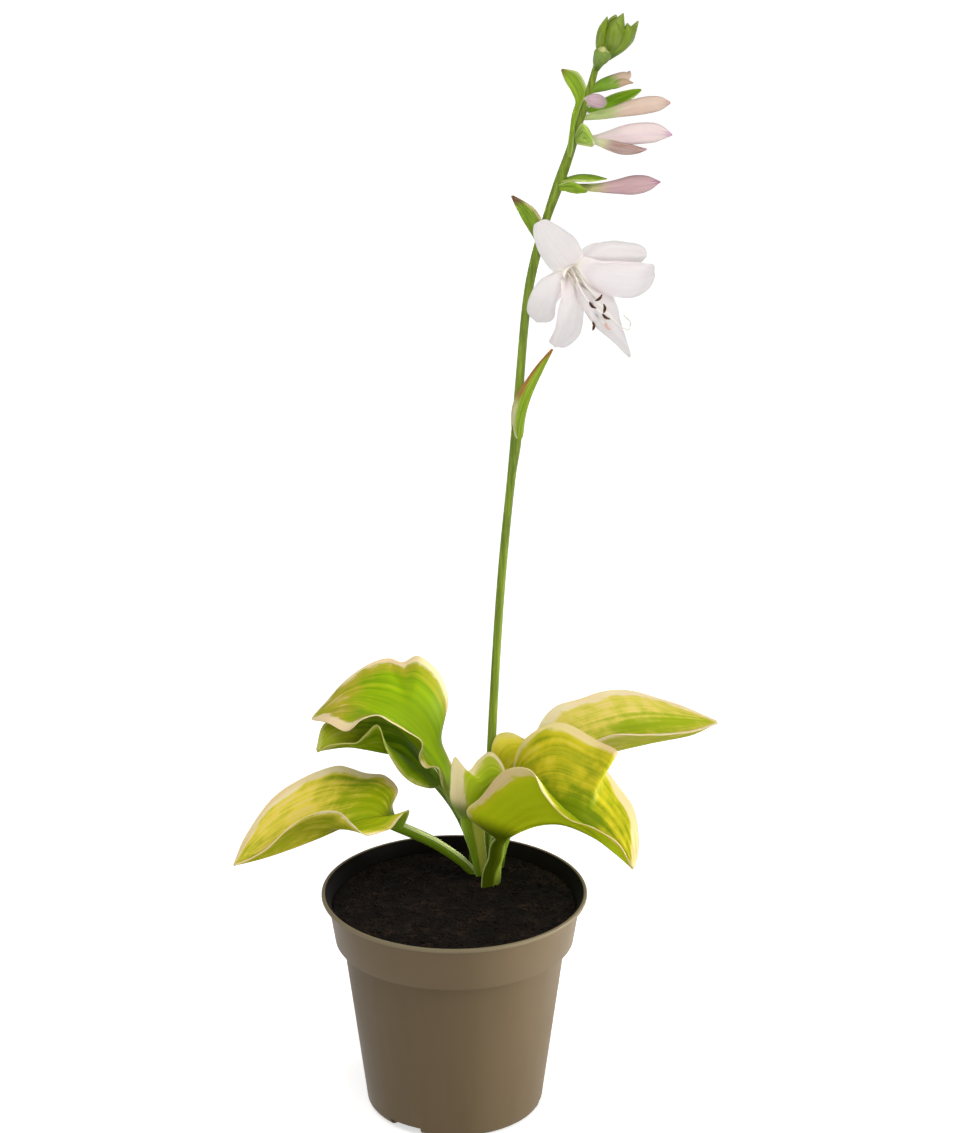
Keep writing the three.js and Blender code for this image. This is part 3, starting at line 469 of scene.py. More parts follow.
class NodeBoard:
    """A short way to lay out the nodes of one material."""

    def __init__(self, name: str) -> None:
        """Starts a material with one principled shader.

        Args:
            name: The material's name.
        """
        self.material = bpy.data.materials.new(name)
        self.material.use_nodes = True
        self.tree = self.material.node_tree
        self.tree.nodes.clear()
        self.shader = self.tree.nodes.new("ShaderNodeBsdfPrincipled")
        output = self.tree.nodes.new("ShaderNodeOutputMaterial")
        self.tree.links.new(self.shader.outputs["BSDF"], output.inputs["Surface"])

    def feed(self, socket: Socket, value: Feed) -> None:
        """Links a socket to another, or sets its value.

        Args:
            socket: The socket that is fed.
            value: Another node's output, a number, a colour or a point.
        """
        if isinstance(value, Socket):
            self.tree.links.new(value, socket)
        elif socket.type == "RGBA":
            socket.default_value = (*value, 1.0)
        else:
            socket.default_value = value

    def set(self, name: str, value: Feed) -> None:
        """Sets one of the shader's own sockets."""
        self.feed(self.shader.inputs[name], value)

    def grow(self, kind: str, output: str | int, feeds: dict[str | int, Feed], **settings: str) -> Socket:
        """Adds a node.

        Args:
            kind: The node's type, without the words that each type starts with.
            output: The output that is asked for.
            feeds: What goes into its sockets.
            settings: The node's own settings.

        Returns:
            The output.
        """
        node = self.tree.nodes.new(f"ShaderNode{kind}")
        for name, value in settings.items():
            setattr(node, name, value)
        for key, value in feeds.items():
            self.feed(node.inputs[key], value)
        return node.outputs[output]

    def attribute(self, name: str) -> Socket:
        """The value of a tag on the mesh."""
        return self.grow("Attribute", "Fac", {}, attribute_name=name)

    def chart(self) -> Socket:
        """The piece's own chart, which follows its surface."""
        return self.grow("UVMap", "UV", {}, uv_map="chart")

    def place(self) -> Socket:
        """The place in the frame, in metres."""
        return self.grow("TexCoord", "Object", {})

    def part(self, vector: Socket, axis: Axis) -> Socket:
        """One part of a vector."""
        return self.grow("SeparateXYZ", axis.value, {"Vector": vector})

    def grains(self, vector: Socket, scale: float) -> Socket:
        """The distance to the middle of the nearest grain."""
        return self.grow("TexVoronoi", "Distance", {"Vector": vector, "Scale": scale})

    def noise(self, vector: Socket, scale: float, detail: float = 3.0, roughness: float = 0.55) -> Socket:
        """Cloudy noise between 0 and 1, of a fineness, a number of finer layers and a strength of those."""
        feeds = {"Vector": vector, "Scale": scale, "Detail": detail, "Roughness": roughness}
        return self.grow("TexNoise", "Fac", feeds)

    def streaks(self, vector: Socket, scale: Point, detail: float = 3.0, roughness: float = 0.55,
                shift: Point = (0.0, 0.0, 0.0)) -> Socket:
        """Noise that is finer along some axes than along others, and is moved by a shift."""
        stretched = self.grow("Mapping", "Vector", {"Vector": vector, "Scale": scale, "Location": shift})
        return self.noise(stretched, 1.0, detail, roughness)

    def remap(self, value: Socket, low: float, high: float, to_low: float = 0.0,
              to_high: float = 1.0) -> Socket:
        """Carries a value softly from the span of low and high to that of to_low and to_high."""
        feeds = {"Value": value, "From Min": low, "From Max": high, "To Min": to_low, "To Max": to_high}
        return self.grow("MapRange", "Result", feeds, interpolation_type="SMOOTHSTEP")

    def add(self, first: Feed, second: Feed) -> Socket:
        """The sum of two values."""
        return self.grow("Math", "Value", {0: first, 1: second}, operation="ADD")

    def times(self, first: Feed, second: Feed) -> Socket:
        """The product of two values."""
        return self.grow("Math", "Value", {0: first, 1: second}, operation="MULTIPLY")

    def sway(self, value: Socket, turns: float) -> Socket:
        """A wave between -1 and 1 that repeats a number of times over the value's unit."""
        return self.grow("Math", "Value", {0: self.times(value, turns * 2 * math.pi)}, operation="SINE")

    def paint(self, share: Feed, under: Feed, over: Feed, way: Blend = Blend.MIX) -> Socket:
        """Lays a share of one colour over another."""
        feeds = {0: share, 6: under, 7: over}
        return self.grow("Mix", 2, feeds, data_type="RGBA", blend_type=way.value)

    def layer(self, under: Feed, over: Feed, value: Socket, *span: float) -> Socket:
        """Lays one colour over another, as much as a value says once remap has carried it over."""
        return self.paint(self.remap(value, *span), under, over)

    def relief(self, height: Socket, depth: float, strength: float) -> None:
        """Gives the surface a relief of a depth in millimetres, of which a share of strength shows."""
        feeds = {"Strength": strength, "Distance": depth * MM, "Height": height}
        self.set("Normal", self.grow("Bump", "Normal", feeds))

    def let_light_in(self, weight: float, reach: Colour, depth: float) -> None:
        """Lets light into the surface.

        Args:
            weight: How much of the light goes in.
            reach: How far its red, green and blue go, as shares of the depth.
            depth: The depth in metres.
        """
        self.set("Subsurface Weight", weight)
        self.set("Subsurface Radius", reach)
        self.set("Subsurface Scale", depth)


@dataclass(frozen=True)
class LeafFinish:
    """A variegated blade: green heart, golden streaks, cream margin and parallel veins."""

    name: str
    deep: Colour = tint(112, 150, 4)
    fresh: Colour = tint(146, 178, 8)
    gold: Colour = tint(184, 172, 58)
    cream: Colour = tint(232, 214, 150)
    blush: Colour = tint(230, 200, 150)
    # Underside colour: partly the underside's own paler green, partly painted light that lifts the shade on
    # undersides.
    pale: Colour = tint(176, 190, 40)
    line: Colour = tint(170, 190, 110)
    # Painted shade and painted light across the stalk: one flank dark, the other lit.
    stalk: Colour = tint(84, 114, 10)
    stalk_lit: Colour = tint(116, 142, 30)
    fleck: Colour = (0.55, 0.6, 0.45)
    under_share: float = 0.55
    flush_share: float = 0.55
    roughness: float = 0.5
    gloss: float = 0.1
    veins: float = 11.0
    shift: float = 0.0

    def make(self) -> bpy.types.Material:
        """Makes the material.

        Returns:
            The new material.
        """
        board = NodeBoard(self.name)
        chart = board.chart()
        streak = board.streaks(chart, (30.0, 1.6, 1.0), 4.0, 0.6, (self.shift, self.shift, 0.0))
        fine = board.streaks(chart, (120.0, 5.0, 1.0), 3.0, 0.6, (self.shift, 0.0, 0.0))
        cloud = board.streaks(chart, (5.0, 3.0, 1.0), shift=(0.0, self.shift, 0.0))
        heart = board.layer(self.deep, self.fresh, streak, 0.28, 0.72, 0.1, 0.9)
        heart = board.layer(heart, self.fresh, cloud, 0.4, 0.7, 0.0, 0.5)
        golden = board.add(board.attribute("gold"), board.remap(streak, 0.25, 0.75, -0.24, 0.24))
        golden = board.add(golden, board.remap(fine, 0.25, 0.75, -0.1, 0.1))
        patch = board.streaks(chart, (9.0, 14.0, 1.0), shift=(self.shift, self.shift, 0.0))
        golden = board.add(golden, board.remap(patch, 0.3, 0.7, -0.2, 0.2))
        colour = board.layer(heart, self.gold, golden, 0.1, 0.95)
        # Undersides are painted paler: partly their own colour, partly painted light lifting the shade that
        # falls on them.
        colour = board.paint(board.times(board.attribute("under"), self.under_share), colour, self.pale)
        flushed = board.times(board.remap(golden, 0.75, 1.15, 0.0, self.flush_share),
                              board.remap(streak, 0.45, 0.62))
        colour = board.paint(flushed, colour, self.blush)
        margin = board.add(board.attribute("margin"), board.remap(streak, 0.2, 0.8, -0.8, 0.8))
        margin = board.add(margin, board.remap(patch, 0.3, 0.7, -0.9, 0.9))
        margin = board.add(margin, board.remap(fine, 0.2, 0.8, -0.5, 0.5))
        colour = board.layer(colour, self.gold, margin, -4.5, 0.2, 0.0, 0.6)
        edge = board.layer(self.cream, self.blush, cloud, 0.42, 0.62)
        colour = board.layer(colour, edge, margin, -1.0, 0.9, 0.0, 0.95)
        # The stalk is painted shaded on one flank and lit on the other, across its width.
        painted_stalk_light = board.layer(self.stalk, self.stalk_lit, board.part(chart, Axis.X), 0.44, 0.6)
        colour = board.layer(colour, painted_stalk_light, board.attribute("stalk"), 0.3, 1.0, 0.0, 0.9)
        colour = board.layer(colour, self.line, board.attribute("line"), -0.25, 0.2, 0.0, 0.85)
        colour = board.paint(board.remap(fine, 0.3, 0.7, 0.0, 0.1), colour, self.fleck, Blend.MULTIPLY)
        board.set("Base Color", colour)
        vein = board.sway(board.part(chart, Axis.X), self.veins)
        board.relief(board.add(vein, board.remap(fine, 0.2, 0.8, -0.3, 0.3)), 0.12, 0.5)
        board.set("Roughness", board.remap(fine, 0.2, 0.8, self.roughness - 0.05, self.roughness + 0.08))
        board.set("Specular IOR Level", self.gloss)
        board.let_light_in(0.12, GREEN_FLESH, 0.002)
        return board.material


@dataclass(frozen=True)
class StemFinish:
    """A smooth round stem with fine streaks along it."""

    name: str = "fresh_stem"
    shade: Colour = tint(84, 106, 22)
    lit: Colour = tint(130, 150, 42)

    def make(self) -> bpy.types.Material:
        """Makes the material.

        Returns:
            The new material.
        """
        board = NodeBoard(self.name)
        place = board.place()
        streak = board.streaks(place, (900.0, 900.0, 30.0))
        cloud = board.streaks(place, (60.0, 60.0, 18.0), 2.0)
        colour = board.layer(self.shade, self.lit, streak, 0.3, 0.7)
        colour = board.layer(colour, self.lit, cloud, 0.4, 0.7, 0.0, 0.5)
        board.set("Base Color", colour)
        board.set("Roughness", board.remap(streak, 0.2, 0.8, 0.42, 0.54))
        board.set("Specular IOR Level", 0.25)
        board.let_light_in(0.08, GREEN_FLESH, 0.002)
        board.relief(streak, 0.12, 0.4)
        return board.material


@dataclass(frozen=True)
class BractFinish:
    """A green leaflet with a pale edge and a dry tip, and a dry strip on one side where it has a seam."""

    name: str
    shade: Colour = tint(92, 126, 8)
    lit: Colour = tint(140, 168, 34)
    edge: Colour = tint(196, 206, 128)
    dry: Colour = tint(124, 78, 30)
    dry_from: float = 0.9
    seam: float = 0.0
    veins: float = 7.0

    def make(self) -> bpy.types.Material:
        """Makes the material.

        Returns:
            The new material.
        """
        board = NodeBoard(self.name)
        chart = board.chart()
        streak = board.streaks(chart, (16.0, 2.0, 1.0))
        fine = board.streaks(chart, (50.0, 8.0, 1.0), 2.0)
        colour = board.layer(self.shade, self.lit, streak, 0.3, 0.7)
        rim = board.add(board.attribute("edge"), board.remap(fine, 0.2, 0.8, -0.08, 0.08))
        colour = board.layer(colour, self.edge, rim, 0.72, 0.98, 0.0, 0.85)
        length = board.add(board.part(chart, Axis.Y), board.remap(streak, 0.2, 0.8, -0.06, 0.06))
        side = board.remap(board.part(chart, Axis.X), 0.72, 0.86, 0.0, self.seam)
        withered = board.times(side, board.remap(length, 0.42, 0.55))
        faded = board.times(side, board.remap(length, 0.36, 0.5, 1.0, 0.0))
        colour = board.paint(withered, board.paint(faded, colour, self.edge), self.dry)
        colour = board.layer(colour, self.dry, length, self.dry_from - 0.08, self.dry_from + 0.06)
        board.set("Base Color", colour)
        board.set("Roughness", board.remap(fine, 0.2, 0.8, 0.44, 0.58))
        board.set("Specular IOR Level", 0.25)
        board.let_light_in(0.12, GREEN_FLESH, 0.0015)
        board.relief(board.add(board.sway(board.part(chart, Axis.X), self.veins), fine), 0.1, 0.5)
        return board.material


@dataclass(frozen=True)
class BudFinish:
    """A closed bud: green foot, pale body and a tinted tip, with soft streaks along it."""

    name: str
    foot: Colour = tint(150, 178, 84)
    body: Colour = tint(238, 220, 218)
    streak: Colour = tint(208, 160, 176)
    tip: Colour = tint(196, 150, 176)
    lobe: Colour = tint(206, 172, 160)
    foot_until: float = 0.3
    tip_from: float = 0.93
    veins: float = 6.0

    def make(self) -> bpy.types.Material:
        """Makes the material.

        Returns:
            The new material.
        """
        board = NodeBoard(self.name)
        chart = board.chart()
        lines = board.streaks(chart, (14.0, 1.4, 1.0))
        fine = board.streaks(chart, (60.0, 6.0, 1.0), 2.0)
        colour = board.layer(self.body, self.streak, lines, 0.45, 0.78, 0.0, 0.7)
        lobe = board.layer(self.lobe, self.body, lines, 0.35, 0.7, 0.0, 0.5)
        colour = board.paint(board.attribute("lobe"), colour, lobe)
        length = board.add(board.part(chart, Axis.Y), board.remap(lines, 0.2, 0.8, -0.07, 0.07))
        colour = board.layer(self.foot, colour, length, self.foot_until - 0.1, self.foot_until + 0.14)
        colour = board.layer(colour, self.tip, length, self.tip_from - 0.05, self.tip_from + 0.05, 0.0, 0.9)
        board.set("Base Color", colour)
        board.set("Roughness", board.remap(fine, 0.2, 0.8, 0.42, 0.56))
        board.let_light_in(0.2, (1.0, 0.8, 0.7), 0.002)
        board.relief(board.add(board.sway(board.part(chart, Axis.X), self.veins), fine), 0.14, 0.5)
        return board.material


@dataclass(frozen=True)
class PetalFinish:
    """Soft white petals with a warm throat lifted by faint painted light from emission, and faint veins."""

    name: str = "soft_petal"
    white: Colour = tint(252, 236, 235)
    shade: Colour = tint(249, 230, 230)
    flush: Colour = tint(240, 222, 224)
    throat: Colour = tint(253, 246, 234)
    thread: Colour = tint(244, 236, 224)
    # Strength of the painted light that glows from the throat.
    painted_throat_light: float = 0.08
    veins: float = 5.0

    def make(self) -> bpy.types.Material:
        """Makes the material.

        Returns:
            The new material.
        """
        board = NodeBoard(self.name)
        chart = board.chart()
        lines = board.streaks(chart, (18.0, 2.0, 1.0))
        fine = board.streaks(chart, (70.0, 12.0, 1.0), 2.0)
        inward = board.attribute("throat")
        colour = board.layer(self.white, self.shade, lines, 0.35, 0.7)
        colour = board.layer(colour, self.flush, inward, 0.0, 0.35, 0.0, 0.6)
        colour = board.layer(colour, self.throat, inward, 0.3, 0.9)
        colour = board.paint(board.attribute("thread"), colour, self.thread)
        board.set("Base Color", colour)
        board.set("Roughness", board.remap(fine, 0.2, 0.8, 0.5, 0.62))
        board.set("Specular IOR Level", 0.2)
        board.let_light_in(0.8, (1.0, 0.94, 0.92), 0.008)
        # Painted light: the throat gives off a faint glow, lifting the shade deep in the tube.
        glow = board.paint(board.remap(inward, 0.1, 0.9), (0.0, 0.0, 0.0), self.throat)
        board.set("Emission Color", glow)
        board.set("Emission Strength", self.painted_throat_light)
        board.relief(board.add(board.sway(board.part(chart, Axis.X), self.veins), fine), 0.05, 0.3)
        return board.material


@dataclass(frozen=True)
class GrainFinish:
    """A dull grainy surface in two tones, for the soil, its crumbs and fibres, and the anthers."""

    name: str
    dark: Colour
    light: Colour
    scale: float
    roughness: float
    depth: float

    def make(self) -> bpy.types.Material:
        """Makes the material.

        Returns:
            The new material.
        """
        board = NodeBoard(self.name)
        place = board.place()
        mottle = board.noise(place, self.scale * 0.1, 3.0, 0.6)
        cloud = board.noise(place, self.scale * 0.25, 4.0, 0.65)
        fine = board.noise(place, self.scale, 3.0, 0.6)
        grain = board.grains(place, self.scale * 0.8)
        share = board.add(board.remap(cloud, 0.4, 0.7, 0.0, 0.6), board.remap(fine, 0.45, 0.75, 0.0, 0.6))
        share = board.times(share, board.remap(mottle, 0.38, 0.66, 0.25, 1.3))
        board.set("Base Color", board.paint(share, self.dark, self.light))
        board.set("Roughness", board.remap(fine, 0.2, 0.8, self.roughness - 0.15, self.roughness + 0.1))
        board.set("Specular IOR Level", 0.15)
        board.relief(board.add(grain, fine), self.depth, 0.8)
        return board.material


@dataclass(frozen=True)
class PlasticFinish:
    """Taupe moulded plastic: satin, with faint upright flow marks, a paler band and a lip paler from wear
    and painted highlight. Painted shade lines sit under the lip and the ledge, and the inside is painted near
    black as painted shade.

    The band's heights are in metres.
    """

    name: str = "taupe_plastic"
    shade: Colour = tint(101, 85, 61)
    lit: Colour = tint(108, 92, 67)
    band: Colour = tint(114, 97, 71)
    # Lip colour: partly wear, partly painted highlight where light catches the edge.
    worn_and_lit: Colour = tint(130, 118, 92)
    # Painted shade: the inside wall is painted near black.
    inside: Colour = tint(14, 11, 8)
    # Painted shade for the thin dark lines under the lip and the ledge.
    crease: Colour = tint(44, 36, 24)
    band_heights: tuple[float, float] = (0.0886, 0.0896)

    def make(self) -> bpy.types.Material:
        """Makes the material.

        Returns:
            The new material.
        """
        board = NodeBoard(self.name)
        place = board.place()
        flow = board.streaks(place, (60.0, 60.0, 8.0))
        cloud = board.noise(place, 18.0, 3.0)
        fine = board.noise(place, 1400.0, 2.0)
        colour = board.layer(self.shade, self.lit, flow, 0.3, 0.7, 0.2, 0.8)
        colour = board.layer(colour, self.band, board.part(place, Axis.Z), *self.band_heights)
        # The lip is painted paler: partly wear, partly painted highlight along the lit edge.
        worn_and_lit = board.times(board.attribute("lip"), board.remap(cloud, 0.3, 0.7, 0.6, 1.0))
        colour = board.paint(worn_and_lit, colour, self.worn_and_lit)
        # Painted shade: dark lines under the lip and the ledge, where the overhangs cast shade.
        colour = board.layer(colour, self.crease, board.attribute("crease"), 0.1, 0.8, 0.0, 0.95)
        # The inside wall is painted near black, standing in for the shade inside the pot.
        inside = board.attribute("inside")
        board.set("Base Color", board.paint(inside, colour, self.inside))
        satin = board.remap(cloud, 0.3, 0.7, 0.44, 0.54)
        board.set("Roughness", board.add(satin, board.times(inside, 0.4)))
        board.set("Specular IOR Level", 0.16)
        board.relief(fine, 0.02, 0.5)
        return board.material


@dataclass(frozen=True)
class FloorFinish:
    """A plain white floor that glows a little, so that it stays pale."""

    name: str = "white_floor"
    colour: Colour = (0.95, 0.95, 0.95)
    glow: float = 0.55
    roughness: float = 0.9

    def make(self) -> bpy.types.Material:
        """Makes the material.

        Returns:
            The new material.
        """
        board = NodeBoard(self.name)
        board.set("Base Color", self.colour)
        board.set("Roughness", self.roughness)
        board.set("Emission Color", (1.0, 1.0, 1.0))
        board.set("Emission Strength", self.glow)
        return board.material


@dataclass(frozen=True)
class Patch:
    """A golden patch on a leaf, or a greener one where its strength is below 0."""

    u: float
    v: float
    reach_u: float
    reach_v: float
    strength: float

    def at(self, u: float, v: float) -> float:
        """How strong the patch is at a place on the blade."""
        distance = ((u - self.u) / self.reach_u) ** 2 + ((v - self.v) / self.reach_v) ** 2
        return self.strength * math.exp(-distance)


@dataclass(frozen=True)
class Variegation:
    """The widths of the cream margins in millimetres from base to tip, and where the blade is golden."""

    left: tuple[float, ...] = (1.0, 2.0, 2.0, 2.0, 3.0)
    right: tuple[float, ...] = (1.0, 2.0, 2.0, 2.0, 3.0)
    gold: float = 0.2
    patches: tuple[Patch, ...] = ()
    stalk_line: float = 0.1

    def gold_at(self, u: float, v: float) -> float:
        """How golden the blade is at a place on it."""
        return self.gold + sum(patch.at(u, v) for patch in self.patches)

    def width_at(self, u: float, v: float) -> float:
        """The width of the cream margin on the side of a place on the blade."""
        return along_list(self.right if v < 0 else self.left, u)


@dataclass
class Leaf:
    """One leaf with its stalk, its sizes in millimetres."""

    name: str
    foot: tuple[float, float]
    turn: float
    half_widths: tuple[float, float]
    belly: float
    stem: tuple[Point, ...]
    rib: tuple[Point, ...]
    left: tuple[Point, ...]
    right: tuple[Point, ...]
    look: Variegation
    finish: LeafFinish
    ripple: float = 0.35
    blade_thickness: float = 0.8
    edge_thinning: float = 0.4
    rib_thickness: float = 2.4
    rib_width: float = 1.8
    rib_fade: float = 0.7
    stalk_thickness: float = 3.0
    stalk_edge: float = 1.0
    channels: tuple[float, float] = (0.6, 1.3)
    crown: float = 107.5
    straight: float = 0.6
    depth: float = 13.0
    sunk_rows: int = 3
    crease: float = 0.7
    across_at: tuple[float, float] = (0.12, 0.9)
    stalk_fade: float = 0.25
    tip_spread: float = 0.7
    tip_from: float = 0.86
    columns: int = 60
    stalk_rows: int = 34
    blade_rows: int = 112

    def places(self) -> list[float]:
        """Places across the blade, closer together towards the edges."""
        even = [2 * j / self.columns - 1 for j in range(self.columns + 1)]
        return [x * (1.3 - 0.3 * x * x) for x in even]

    def section(self, along: Vector, across: Vector, half_width: float, channel: float,
                places: Sequence[float]) -> list[Vector]:
        """The channelled cross-section of the stalk.

        Args:
            along: The way the stalk runs.
            across: The direction of its left edge.
            half_width: Half its width.
            channel: How far its edges stand over its middle.
            places: Places from the right edge to the left edge.

        Returns:
            An offset from the middle for each place.
        """
        flat = square_to(along, across)
        up = along.cross(flat).normalized()
        return [flat * (half_width * v) + up * (channel * v * v) for v in places]

    def stalk_depth(self, v: float) -> float:
        """The thickness of the stalk at a place across it."""
        return between(self.stalk_thickness, self.stalk_edge, abs(v) ** 1.5)

    def lay_out(self) -> tuple[list[list[Vector]], list[list[float]], list[tuple[float, float]]]:
        """Lays out the rows of the stalk and the blade.

        Returns:
            The middle points, the thickness at each, and for each row its place on the blade, below 0 on the
            stalk, and how much of a stalk it still is.
        """
        places = self.places()
        foot = Vector((self.foot[0], self.foot[1], self.crown + self.straight))
        points = [tuple(foot), *self.stem, *self.rib]
        spine = Route(points)
        base = (len(points) - len(self.rib)) / (len(points) - 1)
        left = Route([self.rib[0], *self.left, self.rib[-1]])
        right = Route([self.rib[0], *self.right, self.rib[-1]])
        blade = Blade(lambda u: spine.at(base + u * (1 - base)), left, right, self.belly, self.crease)
        angle = math.radians(self.turn)
        foot_across = Vector((math.cos(angle), math.sin(angle), 0))
        blade_across, tip_across = ((left.at(u) - right.at(u)).normalized() for u in self.across_at)
        foot_width, top_width = self.half_widths
        rows = []
        thickness = []
        facts = []
        for k in range(self.stalk_rows):
            s = max(0.0, (k - self.sunk_rows) / (self.stalk_rows - self.sunk_rows))
            if k <= self.sunk_rows:
                sunk = self.depth * (1 - k / self.sunk_rows)
                middle = Vector((foot.x, foot.y, self.crown - sunk + self.straight * k / self.sunk_rows))
                along = Vector((0, 0, 1))
            else:
                middle = spine.at(s * base)
                along = spine.heading(s * base)
            across = foot_across.lerp(blade_across, smooth(0, 1, s))
            half_width = between(foot_width, top_width, s)
            channel = between(*self.channels, s)
            rows.append([middle + step for step in self.section(along, across, half_width, channel, places)])
            thickness.append([self.stalk_depth(v) for v in places])
            facts.append((-1.0 + s, 1.0))
        for k in range(self.blade_rows + 1):
            u = k / self.blade_rows
            along = spine.heading(base + u * (1 - base))
            fade = 1 - smooth(0, self.stalk_fade, u)
            spread = smooth(self.tip_from, 1, u) * self.tip_spread
            opened = square_to(along, tip_across)
            stalk = self.section(along, blade_across, top_width * fade, self.channels[1] * fade, places)
            row = [point + step + opened * (spread * v)
                   for point, step, v in zip(blade.row(u, places), stalk, places)]
            rows.append(row)
            ridge = max(0.0, 1 - u / self.rib_fade) * (self.rib_thickness - self.blade_thickness)
            width = max((row[-1] - row[0]).length / 2, 0.5)
            thin = [self.blade_thickness * (1 - self.edge_thinning * v ** 4) for v in places]
            ribs = [ridge * math.exp(-((v * width / self.rib_width) ** 2)) for v in places]
            thickness.append([between(flat + rib, self.stalk_depth(v), fade)
                              for flat, rib, v in zip(thin, ribs, places)])
            facts.append((u, fade))
        return rows, thickness, facts

    def build(self) -> bpy.types.Object:
        """Builds and dresses the leaf.

        Returns:
            The finished piece.
        """
        rows, thickness, facts = self.lay_out()
        places = self.places()
        middle = self.columns // 2
        reach = [0.0]
        for before, after in zip(rows, rows[1:]):
            reach.append(reach[-1] + (after[middle] - before[middle]).length)
        sides = [[sum((b - a).length for a, b in zip(row[:middle + 1], row[1:middle + 1])),
                  sum((b - a).length for a, b in zip(row[middle:], row[middle + 1:]))] for row in rows]
        upper = self.blade_thickness / 2
        seed = self.finish.shift * 3.7

        def inset(i: int, j: int) -> float:
            """The distance to the nearer edge, in millimetres."""
            width = sides[i][0 if places[j] < 0 else 1]
            return (1 - abs(places[j])) * max(width, 0.1)

        def margin(i: int, j: int) -> float:
            """How far inside the cream margin a place lies, in millimetres. The stalk has no margin."""
            u = facts[i][0]
            return self.look.width_at(u, places[j]) - inset(i, j) if u >= 0 else FAR_OUTSIDE

        def line(i: int, j: int) -> float:
            """How far inside the pale line on the stalk's edge a place lies, in millimetres."""
            return self.look.stalk_line - inset(i, j) - (1 - facts[i][1]) * 1.5

        def ripple(i: int, j: int) -> float:
            """The small waves of the blade's edge.

            Args:
                i: The row.
                j: The place in the row.

            Returns:
                How far the place is moved, in millimetres.
            """
            u, v = facts[i][0], places[j]
            if u < 0:
                return 0.0
            wave = noise.noise(Vector((u * 9.0, 4.1 if v < 0 else -2.3, seed)))
            fold = noise.noise(Vector((u * 4.0, v * 2.2, seed + 5.0)))
            return self.ripple * (abs(v) ** 3 * wave * 2 + fold * 1.2 * abs(v)) * smooth(0, 0.2, u)

        sheet = Sheet(
            rows=rows,
            upper=lambda i, j: upper,
            lower=lambda i, j: thickness[i][j] - upper,
            chart=lambda i, j: (places[j] / 2 + 0.5, reach[i] / 100),
            tags={
                "margin": margin,
                "line": line,
                "stalk": lambda i, j: facts[i][1],
                "gold": lambda i, j: self.look.gold_at(facts[i][0], places[j]),
            },
            ripple=ripple,
        )
        return place_piece(f"{self.name}_dressed", sheet.build(), self.finish.make(), Slot.LEAF, [self.name])


